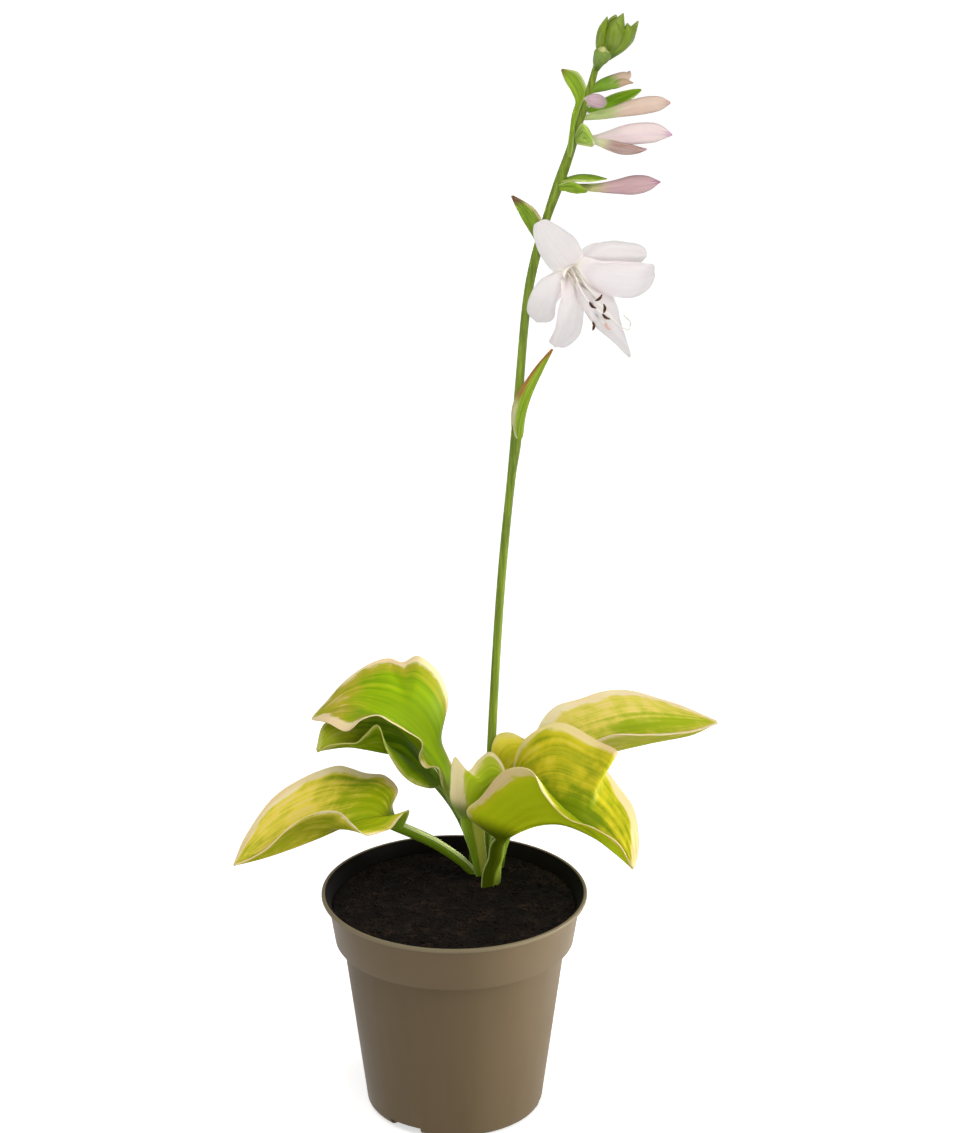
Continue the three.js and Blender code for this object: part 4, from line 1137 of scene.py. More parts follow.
@dataclass
class Foliage:
    """The seven leaves."""

    leaves: tuple[Leaf, ...] = (
        Leaf(
            "leaf_a", foot=(11.2, 40.6), turn=-90, half_widths=(2.5, 3.2), belly=2.5,
            stem=((9.8, 38.5, 119.7), (5.6, 36, 131.8)),
            rib=((-0.3, 33, 145.5), (-6.6, 32, 162.7), (-15, 32, 173.5), (-25, 31, 184.6), (-36, 29, 194),
                 (-51, 28, 200), (-69.4, 25, 194.2)),
            left=((-6, 30, 156.6), (-8.5, 27, 167.7), (-14.4, 23, 169), (-17.2, 20, 176), (-16, 16, 186),
                  (-24.3, 12, 194), (-32, 8, 200.6), (-37.7, 7, 203.6), (-44.5, 8, 201), (-52.4, 10, 194.4),
                  (-61.8, 17, 196)),
            right=((0.2, 38, 154.6), (-3.8, 44, 165.4), (-7.3, 51, 174), (-3.3, 56, 189.3), (-7.7, 58, 204),
                   (-17.6, 60, 212.8), (-25.4, 62, 208.5), (-33, 60, 211.7), (-43.6, 55, 209.6),
                   (-55, 46, 203.8), (-64, 34, 197)),
            look=Variegation(
                left=(0.3, 0.6, 0.8, 0.9, 1.0, 1.2, 2.4, 5.0, 7.0),
                right=(0.8, 1.8, 3.0, 4.0, 4.2, 3.4, 2.6, 1.2, 0.6),
                gold=-0.18,
                patches=(Patch(0.88, -0.5, 0.14, 0.6, 1.0), Patch(0.6, -0.95, 0.25, 0.25, 0.8),
                         Patch(0.3, -0.9, 0.2, 0.2, 0.3), Patch(0.88, 0.4, 0.12, 0.5, 0.8),
                         Patch(0.4, 0.1, 0.2, 0.4, -0.2)),
            ),
            finish=LeafFinish("leaf_a_finish", deep=tint(112, 148, 0), fresh=tint(152, 178, 0),
                              gold=tint(184, 170, 44), pale=tint(160, 176, 20), cream=tint(244, 226, 176),
                              blush=tint(244, 214, 170), shift=1.3),
        ),
        Leaf(
            "leaf_b", foot=(9.5, 47), turn=-80, half_widths=(2.4, 3.0), belly=2,
            stem=((9, 46.5, 116.5), (1.8, 44, 135.8)),
            rib=((-8.7, 40, 153.2), (-19.4, 34, 165.6), (-26.7, 29, 173.7), (-34, 25, 176.6),
                 (-43.6, 21, 180), (-53.2, 18, 182.4), (-66.8, 15, 181.6)),
            left=((-13.7, 32, 155.3), (-20.2, 25, 159.8), (-27, 18, 169.5), (-33, 11.5, 184),
                  (-37.1, 10, 197.1), (-43.2, 11, 192), (-48, 12, 187), (-55.4, 12, 186.4),
                  (-62.8, 13, 184.6)),
            right=((-13.2, 46, 160.2), (-19, 50, 169.5), (-26, 50, 179.5), (-35.8, 47, 185.8),
                   (-46.4, 41, 189.5), (-56, 33, 191.4), (-64.2, 25, 190.4)),
            look=Variegation(
                left=(0.6, 0.9, 1.1, 1.3, 1.6, 1.6, 2.2, 3.2, 4.0),
                right=(1.0, 1.5, 1.5, 1.5, 2.5),
                gold=0.1,
                patches=(Patch(0.84, -0.3, 0.26, 1.0, 1.0), Patch(0.58, 0.45, 0.1, 0.3, 0.5)),
            ),
            finish=LeafFinish("leaf_b_finish", deep=tint(78, 114, 0), fresh=tint(130, 160, 2),
                              pale=tint(104, 132, 0), gold=tint(164, 176, 34), cream=tint(190, 192, 100),
                              blush=tint(196, 190, 108), gloss=0.02, shift=4.9),
        ),
        Leaf(
            "leaf_c", foot=(7.5, 34.5), turn=-68, half_widths=(3.2, 4.4), channels=(2.4, 3.2), belly=3,
            stalk_thickness=2.6,
            stem=((2.5, 31, 115), (-11, 24, 128)),
            rib=((-28, 16, 140), (-39, 10, 148), (-51, 6, 147), (-65, 2, 142), (-80, -2, 137), (-93, -6, 134),
                 (-107, -10, 132)),
            left=((-24.8, 12, 150.6), (-30.4, 9, 143.6), (-34, 2, 144.5), (-43, -4, 145), (-49, -5, 151),
                  (-56, -5, 158), (-67, -6, 158), (-79, -8, 152), (-92, -9, 139)),
            right=((-30, 22, 146), (-28, 30, 154), (-34, 34, 160), (-43, 36, 160), (-51, 38, 162),
                   (-60, 38, 163), (-75, 32, 159), (-90, 22, 152), (-102, 6, 139)),
            look=Variegation(
                left=(0.4, 0.5, 0.5, 0.7, 0.8, 0.8, 0.9, 1.6, 2.0),
                right=(1.0, 2.4, 2.8, 3.2, 3.6, 4.5, 5.5, 4.0, 2.0),
                gold=0.3,
                patches=(Patch(0.7, -0.5, 0.22, 0.5, 0.6), Patch(0.2, 0.2, 0.2, 0.8, -0.45),
                         Patch(0.5, 0.2, 0.2, 0.4, 0.2)),
                stalk_line=0.7,
            ),
            finish=LeafFinish("leaf_c_finish", deep=tint(126, 154, 0), fresh=tint(170, 176, 10),
                              pale=tint(140, 138, 10), gold=tint(236, 214, 76), cream=tint(244, 228, 180),
                              blush=tint(240, 210, 156), stalk=tint(70, 104, 8), stalk_lit=tint(104, 138, 26),
                              line=tint(196, 208, 136), shift=8.2),
        ),
        Leaf(
            "leaf_d", foot=(18, 19), turn=22, half_widths=(5.0, 5.0), channels=(0.8, 2.0), belly=3,
            stem=((18.8, 18.5, 115.3), (21, 17.5, 123.1)),
            rib=((23.8, 13, 136.4), (37, 4, 147), (51.4, -6, 152.8), (65.7, -17, 151.5), (77, -25, 146.2),
                 (86.2, -30, 139.6)),
            left=((25.8, 25, 152.4), (31.2, 30, 174.4), (40.9, 28, 187.5), (53.6, 26, 191.6),
                  (69.6, 20, 184.7), (79.1, 12, 182.4), (73.1, 20, 171.9), (78.9, 15, 164.5),
                  (86.5, 4, 156.7), (89.1, -10, 149.8), (88.7, -22, 144.8)),
            right=((8, 9, 151.4), (13.3, 3, 162.5), (24.2, -4, 179.2), (36.7, -9, 181.7), (43.4, -13, 170.8),
                   (54, -18, 161), (67.9, -23, 157.5), (78.9, -27, 151.4)),
            look=Variegation(
                left=(1.0, 1.8, 2.2, 2.6, 2.8, 2.4, 3.6, 6.5, 7.5, 6.0, 3.0),
                right=(0.0, 1.0, 3.2, 4.6, 3.4, 0.9, 0.4, 0.5, 0.8),
                gold=0.1,
                patches=(Patch(0.35, 0.8, 0.3, 0.4, 0.6), Patch(0.78, 0.4, 0.2, 0.4, 0.55),
                         Patch(0.5, 0.1, 0.25, 0.2, -0.25), Patch(0.3, -0.5, 0.3, 0.4, -0.15)),
                stalk_line=0.35,
            ),
            finish=LeafFinish("leaf_d_finish", deep=tint(108, 132, 0), fresh=tint(134, 150, 0),
                              gold=tint(210, 194, 36), pale=tint(194, 208, 20), under_share=0.85,
                              flush_share=0.3, stalk=tint(40, 58, 0), stalk_lit=tint(112, 132, 44),
                              shift=2.6),
        ),
        Leaf(
            "leaf_e", foot=(22, 41), turn=83, half_widths=(2.6, 3.2), belly=3,
            stem=((24, 42, 119), (33, 45, 142)),
            rib=((50, 45, 160), (64, 45, 165), (78, 44, 169), (96, 42, 174), (116, 38, 180), (129, 35, 188)),
            left=((41, 56, 167), (43, 62, 176), (50, 66, 183), (61, 68, 186), (72, 70, 189), (85, 68, 191),
                  (98, 62, 190), (113, 52, 189)),
            right=((59, 38, 171), (69, 34, 178), (78, 32, 183), (91, 32, 182), (105, 33, 182),
                   (118, 34, 184)),
            look=Variegation(
                left=(2.0, 4.0, 5.0, 4.6, 4.0, 4.0, 3.6, 3.0, 2.0),
                right=(2.0, 3.4, 3.6, 3.0, 2.6, 2.2, 1.6),
                gold=0.75,
                patches=(Patch(0.55, 0.25, 0.25, 0.22, -0.5), Patch(0.85, 0.3, 0.2, 0.4, -0.5),
                         Patch(0.3, 0.2, 0.2, 0.3, 0.1)),
            ),
            finish=LeafFinish("leaf_e_finish", deep=tint(150, 172, 20), fresh=tint(184, 196, 36),
                              gold=tint(236, 216, 98), cream=tint(252, 234, 190), blush=tint(252, 224, 176),
                              shift=6.4),
        ),
        Leaf(
            "leaf_f", foot=(20, 29), turn=108, half_widths=(2.2, 2.6), belly=1.5,
            stem=((22, 30, 121), (24, 31, 137)),
            rib=((25, 32, 150.6), (31, 33.5, 155), (40, 34, 160.2), (49, 34, 163.6), (62, 33, 164)),
            left=((19, 35, 160), (18, 37, 172), (21, 38, 180), (28, 38.5, 181), (36, 38, 177), (46, 37, 175)),
            right=((29.5, 29, 154.6), (37, 29.5, 158.6), (47, 30.5, 161)),
            look=Variegation(left=(0.6, 1.0, 1.4, 1.6, 1.4, 1.0), right=(0.6, 1.0, 1.0), gold=0.55,
                             patches=(Patch(0.4, 0.3, 0.3, 0.25, -0.3),)),
            finish=LeafFinish("leaf_f_finish", deep=tint(190, 186, 16), fresh=tint(216, 208, 40),
                              gold=tint(232, 216, 72), cream=tint(224, 210, 116), blush=tint(222, 206, 120),
                              shift=3.1),
        ),
        Leaf(
            "leaf_g", foot=(13.5, 28), turn=174, half_widths=(2.8, 6.3), belly=1.5,
            stem=((11.5, 28.5, 122), (9.6, 28, 132)),
            rib=((9, 27, 141.2), (12.5, 27, 150), (17.5, 26, 157.4), (22, 22, 161.3), (26.2, 17, 162)),
            left=((0.8, 20, 153), (-1.6, 20, 166.5), (0.3, 24, 174.4), (6.2, 28, 165), (12, 30, 170.6),
                  (18, 29, 174.8), (23.3, 24, 171)),
            right=((14.5, 20, 145.5), (19.4, 17, 150.2), (23.8, 16, 155)),
            look=Variegation(left=(4.0, 9.0, 9.0, 5.0, 2.4, 2.2, 2.4, 2.2), right=(1.0, 1.4, 1.4, 1.4)),
            finish=LeafFinish("leaf_g_finish", deep=tint(158, 190, 8), fresh=tint(188, 204, 44),
                              gold=tint(212, 200, 90), cream=tint(236, 220, 170), blush=tint(234, 212, 168),
                              pale=tint(210, 210, 110), under_share=0.7, stalk=tint(168, 172, 70),
                              stalk_lit=tint(100, 128, 20), shift=9.5),
        ),
    )

    def build(self) -> list[bpy.types.Object]:
        """Builds every leaf."""
        return [leaf.build() for leaf in self.leaves]


@dataclass
class FlowerStem:
    """The upright stem that carries the bracts, the buds and the flower."""

    foot: Point = (16, 40, 94)
    route: tuple[Ring, ...] = (
        (16, 40, 107, 2.3), (18, 41, 169.5, 2.2), (20.9, 41, 229.3, 2.1), (23.7, 40, 271.6, 2.1),
        (27.5, 39, 313.4, 2.1), (29.9, 38, 336, 2.7), (31.9, 37, 370, 2.1), (34.9, 36, 405.3, 2.1),
        (39, 35, 427.9, 2.2), (44.1, 34, 446.9, 2.0), (49.6, 34, 463.5, 2.5), (54.6, 33, 478.8, 2.2),
        (58.2, 32, 492.1, 2.0), (61.4, 31, 502, 1.9), (64.1, 31, 511.6, 1.7), (66.7, 30, 521.4, 1.5),
        (69.6, 30, 527.5, 1.4),
    )
    finish: StemFinish = StemFinish()

    def build(self) -> bpy.types.Object:
        """Builds and dresses the stem.

        Returns:
            The finished piece.
        """
        def ridges(turn: float, share: float) -> float:
            """Faint ridges along the stem."""
            return 1 + 0.02 * math.cos(5 * turn + share * 6)

        route = [(*self.foot, self.route[0][3]), *self.route]
        roll = Roll(route, sides=24, rings_per_span=10, shape=ridges, dome=0.3)
        return place_piece("scape_dressed", roll.build(), self.finish.make(), Slot.STEM, ["scape"])


@dataclass
class SmallBlade:
    """A petal or a bract, its sizes in millimetres."""

    rib: tuple[Point, ...]
    left: tuple[Point, ...]
    right: tuple[Point, ...]
    thickness: float = 0.8
    belly: float = 0.4
    base_half_width: float = 1.2
    tip_half_width: float = 0.5
    ripple: float = 0.15
    columns: int = 20
    rows: int = 36
    across_at: tuple[float, float] = (0.2, 0.85)
    base_until: float = 0.3
    tip_from: float = 0.75
    throat_until: float = 0.45

    def build(self) -> WorkMesh:
        """Builds the blade as a thin sheet.

        Returns:
            The closed mesh in metres.
        """
        spine = Route(self.rib)
        left = Route([self.rib[0], *self.left, self.rib[-1]])
        right = Route([self.rib[0], *self.right, self.rib[-1]])
        blade = Blade(spine.at, left, right, self.belly, 0.0)
        base_across, tip_across = ((left.at(u) - right.at(u)).normalized() for u in self.across_at)
        places = [2 * j / self.columns - 1 for j in range(self.columns + 1)]
        rows = []
        for k in range(self.rows + 1):
            u = k / self.rows
            along = spine.heading(u)
            base_share = 1 - smooth(0, self.base_until, u)
            tip_share = smooth(self.tip_from, 1, u)
            widen = square_to(along, base_across) * (base_share * self.base_half_width)
            spread = square_to(along, tip_across) * (tip_share * self.tip_half_width)
            rows.append([point + (widen + spread) * v for point, v in zip(blade.row(u, places), places)])
        seed = self.rib[-1][0] + self.rib[-1][2] * 0.37

        def ripple(i: int, j: int) -> float:
            """Small soft waves, in millimetres."""
            wave = noise.noise(Vector((i / self.rows * 5.0, places[j] * 1.6, seed)))
            return self.ripple * wave * 2 * abs(places[j]) * smooth(0, 0.3, i / self.rows)

        half = self.thickness / 2

        def depth(i: int, j: int) -> float:
            """Half the thickness, less towards the edges."""
            return half * (1 - 0.45 * abs(places[j]) ** 3) * (1 - 0.3 * smooth(0.7, 1.0, i / self.rows))

        return Sheet(
            rows=rows,
            upper=depth,
            lower=depth,
            chart=lambda i, j: (places[j] / 2 + 0.5, i / self.rows),
            tags={
                "edge": lambda i, j: abs(places[j]),
                "throat": lambda i, j: 1 - smooth(0.0, self.throat_until, i / self.rows),
            },
            ripple=ripple,
        ).build()


@dataclass
class Bracts:
    """The green leaflets on the flower stem."""

    blades: dict[str, tuple[SmallBlade, BractFinish]] = field(default_factory=lambda: {
        "bract_lower": (SmallBlade(
            rib=((31.3, 34.5, 336), (32.2, 33, 346.5), (35.4, 31.5, 359.2), (40.6, 30.5, 371.6),
                 (46.9, 30, 382.9)),
            left=((27.9, 38, 342.3), (28.2, 35.5, 352.7), (31.6, 32.4, 361.7), (38.6, 31, 373)),
            right=((33.2, 38, 340.3), (34.8, 35.4, 352.4), (38.6, 33, 363.6), (43, 31.4, 373.4)),
        ), BractFinish("bract_lower_finish", shade=tint(104, 138, 8), lit=tint(152, 176, 40),
                       edge=tint(196, 188, 140), dry=tint(150, 92, 34), dry_from=0.93, seam=0.9)),
        "bract_bloom": (SmallBlade(
            rib=((40.4, 34, 433.1), (37, 32, 443.1), (32.3, 31, 451.2), (27.6, 30, 458.4)),
            left=((37.5, 33, 437.9), (33.3, 32, 445.1), (29.5, 31, 453.2)),
            right=((42.6, 30, 442.3), (40.7, 29, 448.9), (36, 29, 454.3)),
        ), BractFinish("bract_bloom_finish", edge=tint(206, 184, 140), dry=tint(110, 82, 50), dry_from=0.84)),
        "bract_bud_1_upper": (SmallBlade(
            rib=((50, 34, 464.5), (58.4, 32, 467.4), (64.9, 31, 467.6), (71.9, 30, 466.5)),
            left=((56, 36, 465.5), (64, 35, 466)),
            right=((56, 28, 466), (64, 27, 466)),
        ), BractFinish("bract_bud_1_upper_finish", dry_from=1.1)),
        "bract_bud_1_front": (SmallBlade(
            rib=((49.4, 32.4, 461.6), (54.2, 26.6, 464), (58.3, 25.2, 463.6), (62.5, 24.8, 462)),
            left=((52.8, 27, 466.2), (57.8, 25.8, 465.8)),
            right=((53.3, 28, 461), (58.3, 26, 460.8)),
        ), BractFinish("bract_bud_1_front_finish", dry_from=1.1)),
        "bract_bud_2": (SmallBlade(
            rib=((57, 31, 485), (60, 26, 489.5), (61.5, 23.5, 491), (66, 22.5, 485.5)),
            left=((57.8, 28, 490.5), (60.4, 25, 495), (64, 23.5, 491)),
            right=((58.6, 27.5, 484), (61.5, 24.5, 484.2), (64.5, 23, 484.2)),
        ), BractFinish("bract_bud_2_finish", lit=tint(172, 198, 84), dry=tint(226, 220, 190), dry_from=0.95)),
        "bract_bud_3": (SmallBlade(
            rib=((62.6, 33, 498.3), (71.2, 35.5, 501), (79.1, 36, 503.9), (87.6, 36, 507.9)),
            left=((68.6, 38, 502.2), (76.4, 38.5, 505.9), (83, 38, 507.5)),
            right=((69.4, 32.5, 498.8), (76.7, 33, 500.5), (83.7, 34, 504.3)),
        ), BractFinish("bract_bud_3_finish", shade=tint(84, 130, 4), lit=tint(136, 176, 20), dry_from=1.1)),
        "bract_left": (SmallBlade(
            rib=((54.3, 30.6, 477.1), (55.1, 30.2, 483), (56, 29.8, 490.8), (57, 29.6, 497.6),
                 (58.4, 30, 503.2), (58.1, 31.5, 507.1), (55.1, 34, 512.2), (50.6, 37, 517.4)),
            left=((53.8, 30.8, 482.3), (54.6, 30.4, 491.1), (55.6, 30.2, 498.4), (57.2, 31, 503.9),
                  (54.9, 33, 508.1), (52.2, 35.5, 512.5)),
            right=((55.7, 29.4, 482.7), (56.7, 29, 491.5), (58.3, 29, 498.7), (59.9, 29.6, 503.6),
                   (62.4, 31.5, 508.8), (58.3, 34, 516.5)),
            base_half_width=0.5, rows=56,
        ), BractFinish("bract_left_finish", shade=tint(98, 132, 8), lit=tint(146, 174, 40),
                       edge=tint(206, 214, 150), dry_from=0.985)),
    })

    def build(self) -> list[bpy.types.Object]:
        """Builds every bract.

        Returns:
            The finished pieces.
        """
        return [place_piece(f"{name}_dressed", blade.build(), finish.make(), Slot.BRACT, [name])
                for name, (blade, finish) in self.blades.items()]


@dataclass
class Bud:
    """One closed bud: the routes of its lobes and how it is folded."""

    name: str
    routes: tuple[tuple[Ring, ...], ...]
    finish: BudFinish
    folds: int = 3
    fold_depth: float = 0.07
    twist: float = 1.2

    def build(self) -> bpy.types.Object:
        """Builds and dresses the bud.

        Returns:
            The finished piece.
        """
        def folded(turn: float, share: float) -> float:
            """The folds of the petals, strongest on the swollen part."""
            crease = abs(math.sin(self.folds * turn / 2 + self.twist * share))
            return 1 - self.fold_depth * (1 - crease) ** 2 * smooth(0.25, 0.6, share)

        bm = bmesh.new()
        counts = []
        for route in self.routes:
            add_body(bm, Roll(route, sides=30, rings_per_span=9, shape=folded).build())
            counts.append(len(bm.verts))
        tag_after(bm, "lobe", counts[0])
        return place_piece(f"{self.name}_dressed", bm, self.finish.make(), Slot.BUD, [self.name])


@dataclass
class Buds:
    """The six closed buds."""

    buds: tuple[Bud, ...] = (
        Bud("bud_1", (((50.1, 34, 462, 1.2), (59.4, 32, 462.1, 1.6), (68, 30.5, 462.2, 2.2),
                       (76, 29.5, 463, 3.4), (84, 29, 464, 4.6), (91, 29, 464.8, 3.6),
                       (96.6, 29, 465.5, 0.4)),),
            BudFinish("bud_1_finish", foot=tint(172, 176, 100), body=tint(196, 162, 164),
                      streak=tint(148, 98, 118), tip=tint(158, 104, 138), foot_until=0.34)),
        Bud("bud_2", (((57.3, 32, 486.3, 1.2), (64.7, 28.5, 486.5, 1.6), (72, 27, 488, 2.6),
                       (80, 25.5, 489.4, 4.6), (88, 24.5, 490.4, 5.0), (95, 23.5, 490.8, 4.2),
                       (101.4, 23, 490, 0.6)),
                      ((66, 27, 485.8, 1.5), (73, 24.5, 484.6, 2.7), (79, 23.2, 483.4, 3.0),
                       (85, 22.6, 482.9, 2.0), (90, 22.4, 483.2, 0.4))),
            BudFinish("bud_2_finish", foot=tint(206, 208, 160), body=tint(224, 206, 203),
                      streak=tint(208, 172, 184), lobe=tint(150, 114, 100), foot_until=0.18)),
        Bud("bud_3", (((60.5, 32, 495.5, 1.2), (68.4, 31, 497, 2.0), (75, 31, 498.6, 2.7),
                       (82, 31, 500.4, 3.7), (90, 31, 502, 4.1), (96.4, 31, 502.8, 3.2),
                       (100.5, 31, 503, 0.8)),),
            BudFinish("bud_3_finish", foot=tint(176, 190, 120), body=tint(210, 186, 168),
                      streak=tint(196, 164, 146), tip=tint(190, 150, 140), foot_until=0.34)),
        Bud("bud_4", (((61.6, 31, 502.5, 1.2), (68.6, 26, 504.4, 2.2), (67.3, 21, 506.5, 3.3),
                       (64.7, 18.4, 507.9, 3.2), (62.2, 17.4, 508.7, 1.6), (60.8, 17.2, 508.9, 0.4)),),
            BudFinish("bud_4_finish", foot=tint(170, 176, 130), body=tint(190, 162, 168),
                      streak=tint(116, 80, 94), tip=tint(204, 200, 160), foot_until=0.3)),
        Bud("bud_5", (((64.1, 31, 508.6, 1.2), (68.7, 31.8, 510.9, 2.8), (73.8, 32.6, 512.6, 3.3),
                       (78.4, 33.4, 514.2, 3), (81.2, 34, 515.7, 1.8), (82, 34, 517.3, 0.4)),
                      ((71, 32, 511, 1.6), (74.3, 31.8, 512, 2.6), (77.9, 31.6, 512.9, 2.4),
                       (81.2, 31.4, 512.8, 1.2), (83.5, 31.2, 512.5, 0.3))),
            BudFinish("bud_5_finish", foot=tint(118, 156, 26), body=tint(206, 180, 156),
                      streak=tint(170, 130, 108), tip=tint(176, 136, 110), lobe=tint(180, 150, 118),
                      foot_until=0.42, tip_from=0.94)),
        Bud("bud_6", (((66.6, 30, 519.2, 1.2), (67.4, 27.4, 523.5, 2.8), (68.5, 26.4, 526.1, 3.9),
                       (69.3, 26.2, 528.3, 4), (69.6, 26.2, 529.8, 2.2)),),
            BudFinish("bud_6_finish", foot=tint(84, 116, 16), body=tint(116, 140, 50),
                      streak=tint(86, 116, 20), tip=tint(190, 190, 122), foot_until=0.2, tip_from=0.9)),
    )

    def build(self) -> list[bpy.types.Object]:
        """Builds every bud."""
        return [bud.build() for bud in self.buds]


@dataclass
class TipCluster:
    """The tight green scales around the end of the flower stem."""

    scales: tuple[tuple[Ring, ...], ...] = (
        ((69.4, 30, 524.8, 1.8), (73.4, 29, 532, 4.4), (75.4, 28.6, 538.6, 4.6), (78.5, 28.6, 546.1, 0.4)),
        ((68.4, 30.4, 526, 1.6), (68.8, 29.4, 532.4, 3), (69.4, 28.2, 538.4, 2.6), (71.1, 28, 544.6, 0.4)),
        ((71.6, 30, 525, 1.8), (77.4, 29, 531.4, 3.4), (80.6, 28.4, 537, 3), (80.5, 28.4, 541.5, 0.4)),
        ((73, 31, 526, 1.6), (80, 32.4, 531.8, 2.6), (82.8, 32.8, 536.6, 2), (85.5, 33, 541.3, 0.4)),
        ((70, 32, 526, 1.6), (71, 34.4, 533, 2.8), (73.4, 34, 540, 2.4), (75.1, 31.5, 544.2, 0.8)),
        ((71.9, 27.5, 529.2, 1.6), (73.7, 25.6, 533.3, 3.1), (74.5, 24.8, 537.5, 3.6),
         (74.9, 25.2, 540.8, 2.4), (75.1, 25.8, 542.6, 0.5)),
    )
    finish: BudFinish = BudFinish(
        "tip_finish", foot=tint(88, 118, 4), body=tint(120, 142, 20), streak=tint(76, 106, 8),
        tip=tint(140, 156, 70), foot_until=0.2, tip_from=0.95)

    def build(self) -> bpy.types.Object:
        """Builds and dresses the cluster.

        Returns:
            The finished piece.
        """
        def keeled(turn: float, share: float) -> float:
            """A keel along the back of each scale."""
            return 1 + 0.06 * math.cos(2 * turn) * smooth(0.1, 0.5, share)

        bm = bmesh.new()
        for scale in self.scales:
            add_body(bm, Roll(scale, sides=24, rings_per_span=10, shape=keeled).build())
        return place_piece("tip_cluster_dressed", bm, self.finish.make(), Slot.BRACT, ["tip_cluster"])


@dataclass
class Bloom:
    """The open flower: tube, six petals, filaments and the hooked style, sizes in millimetres.

    Each anther has a middle, a direction and a compass angle in the throat. Their common shape gives shares
    of their length, their radius and their bend.
    """

    throat: Point = (55.9, 8, 428.2)
    throat_radius: float = 4.9
    root_depth: float = 1.2
    tube: tuple[Ring, ...] = ((41.3, 35, 435.3, 1.3), (44.6, 30, 434, 1.6), (50, 20, 431.4, 3.2),
                              (55.9, 8, 428.2, 5.5))
    hollow: tuple[Ring, ...] = ((49, 22, 431.9, 0.4), (52.5, 15, 430, 2.4), (55.9, 8, 428.2, 4.7),
                                (56.8, 6.3, 427.7, 5.2))
    petals: tuple[SmallBlade, ...] = (
        SmallBlade(rib=((54.5, 6, 431.8), (49.7, 1, 440.2), (44.1, 1, 448.4), (40.4, 5, 453.9)),
                   left=((46.6, 5, 430.2), (40.9, 2, 437.9), (37.6, 2, 446.6), (37.6, 4, 451.8)),
                   right=((59.9, 2, 437.4), (57, -1, 446.6), (50.5, 0, 452.1), (44.1, 3, 455))),
        SmallBlade(rib=((52.7, 7, 426.6), (46.1, 2, 422.9), (41, 2, 415.1), (39.3, 6, 404.4)),
                   left=((47, 5, 428.7), (41, 3, 426.4), (36.4, 3, 419.6), (34.6, 5, 410.2)),
                   right=((52.6, 3, 421.1), (48.4, 1, 415.4), (47.6, 2, 409.2), (45.3, 5, 404.8))),
        SmallBlade(rib=((54.5, 6, 425.5), (54.4, -2, 417.8), (52.6, -4, 407.8), (47.6, 0, 394.2)),
                   left=((51.2, 0, 422.1), (48.9, -3, 413.3), (47.1, -3, 403.5), (44.8, -1, 397.5)),
                   right=((59.5, 0, 422.1), (60.9, -3, 412.3), (59.2, -3, 401.6), (53.2, -1, 395))),
        SmallBlade(rib=((60, 0, 424), (66.3, -8, 416.4), (73.7, -12, 407), (82.2, -12, 393.4)),
                   left=((60.4, -5, 415.9), (65.5, -9, 408), (73.8, -12, 401.2)),
                   right=((71, -5, 423.2), (76.1, -8, 417.4), (77.9, -11, 410.1), (80.7, -12, 401.2))),
        SmallBlade(rib=((61.8, 0, 431.8), (72.7, -6, 429.8), (84.2, -8, 430), (93.6, -4, 430.6)),
                   left=((68.1, -4, 436.9), (79.6, -6, 437.6), (88.8, -5, 436.8), (93.1, -4, 435.5)),
                   right=((67.3, -4, 423.4), (75.1, -8, 421.3), (84.3, -9, 421.6), (91.2, -7, 425.8))),
        SmallBlade(rib=((60.5, 5, 434.1), (70.5, 2, 439.9), (81.1, 1, 440.7), (90, 3, 438.1)),
                   left=((64.6, 6, 442), (72.9, 5, 444.2), (82.1, 4, 444.1), (88.2, 4, 441.7)),
                   right=((68.3, 2, 433.6), (79.8, 0, 432.8), (86.8, 1, 434.9))),
    )
    style: tuple[Ring, ...] = ((50, 20, 431, 0.6), (58, 4, 425.6, 0.55), (68.1, -11, 418.4, 0.55),
                               (77.3, -15, 409.5, 0.5), (81.5, -15, 408, 0.5), (82, -14, 411.1, 0.5),
                               (79.2, -13, 414.2, 0.6))
    filament_root: Point = (47.2, 25.4, 432.7)
    filament_radius: float = 0.38
    root_spread: float = 1.2
    filament_spread: float = 2.2
    filament_sag: float = 2.0
    anther_length: float = 4.2
    anther_radius: float = 0.66
    anther_bend: float = 0.6
    anther_shape: tuple[Point, ...] = ((-0.5, 0.35, 1.0), (-0.3, 0.9, 0.4), (0.1, 1.0, 0.0), (0.5, 0.4, 1.0))
    anthers: tuple[tuple[Point, Point, float], ...] = (
        ((67.7, -16, 423.2), (1, 0, 1), 60), ((64.3, -14, 418.9), (0.7, 0, -0.7), 120),
        ((70.2, -18, 419), (0, 0, 1), 10), ((70.5, -18, 414.7), (0.8, 0, -0.6), -50),
        ((65.4, -12, 408.5), (0, 0, 1), 200), ((71.3, -16, 409.4), (0.6, 0, -0.8), 260),
    )
    finish: PetalFinish = PetalFinish()
    ripe_finish: GrainFinish = GrainFinish(
        "anther_finish", tint(58, 34, 20), tint(120, 78, 44), scale=1800.0, roughness=0.8, depth=0.12)
    unripe_finish: GrainFinish = GrainFinish(
        "unripe_anther_finish", tint(232, 186, 172), tint(246, 216, 204), scale=1800.0, roughness=0.7,
        depth=0.1)
    unripe_anther: int = 6

    def axes(self) -> tuple[Vector, Vector, Vector]:
        """The directions of the flower.

        Returns:
            The way it faces, and two directions square to that.
        """
        axis = (Vector(self.throat) - Vector(self.tube[2][:3])).normalized()
        sideways = Vector((0, 0, 1)).cross(axis).normalized()
        return axis, sideways, axis.cross(sideways)

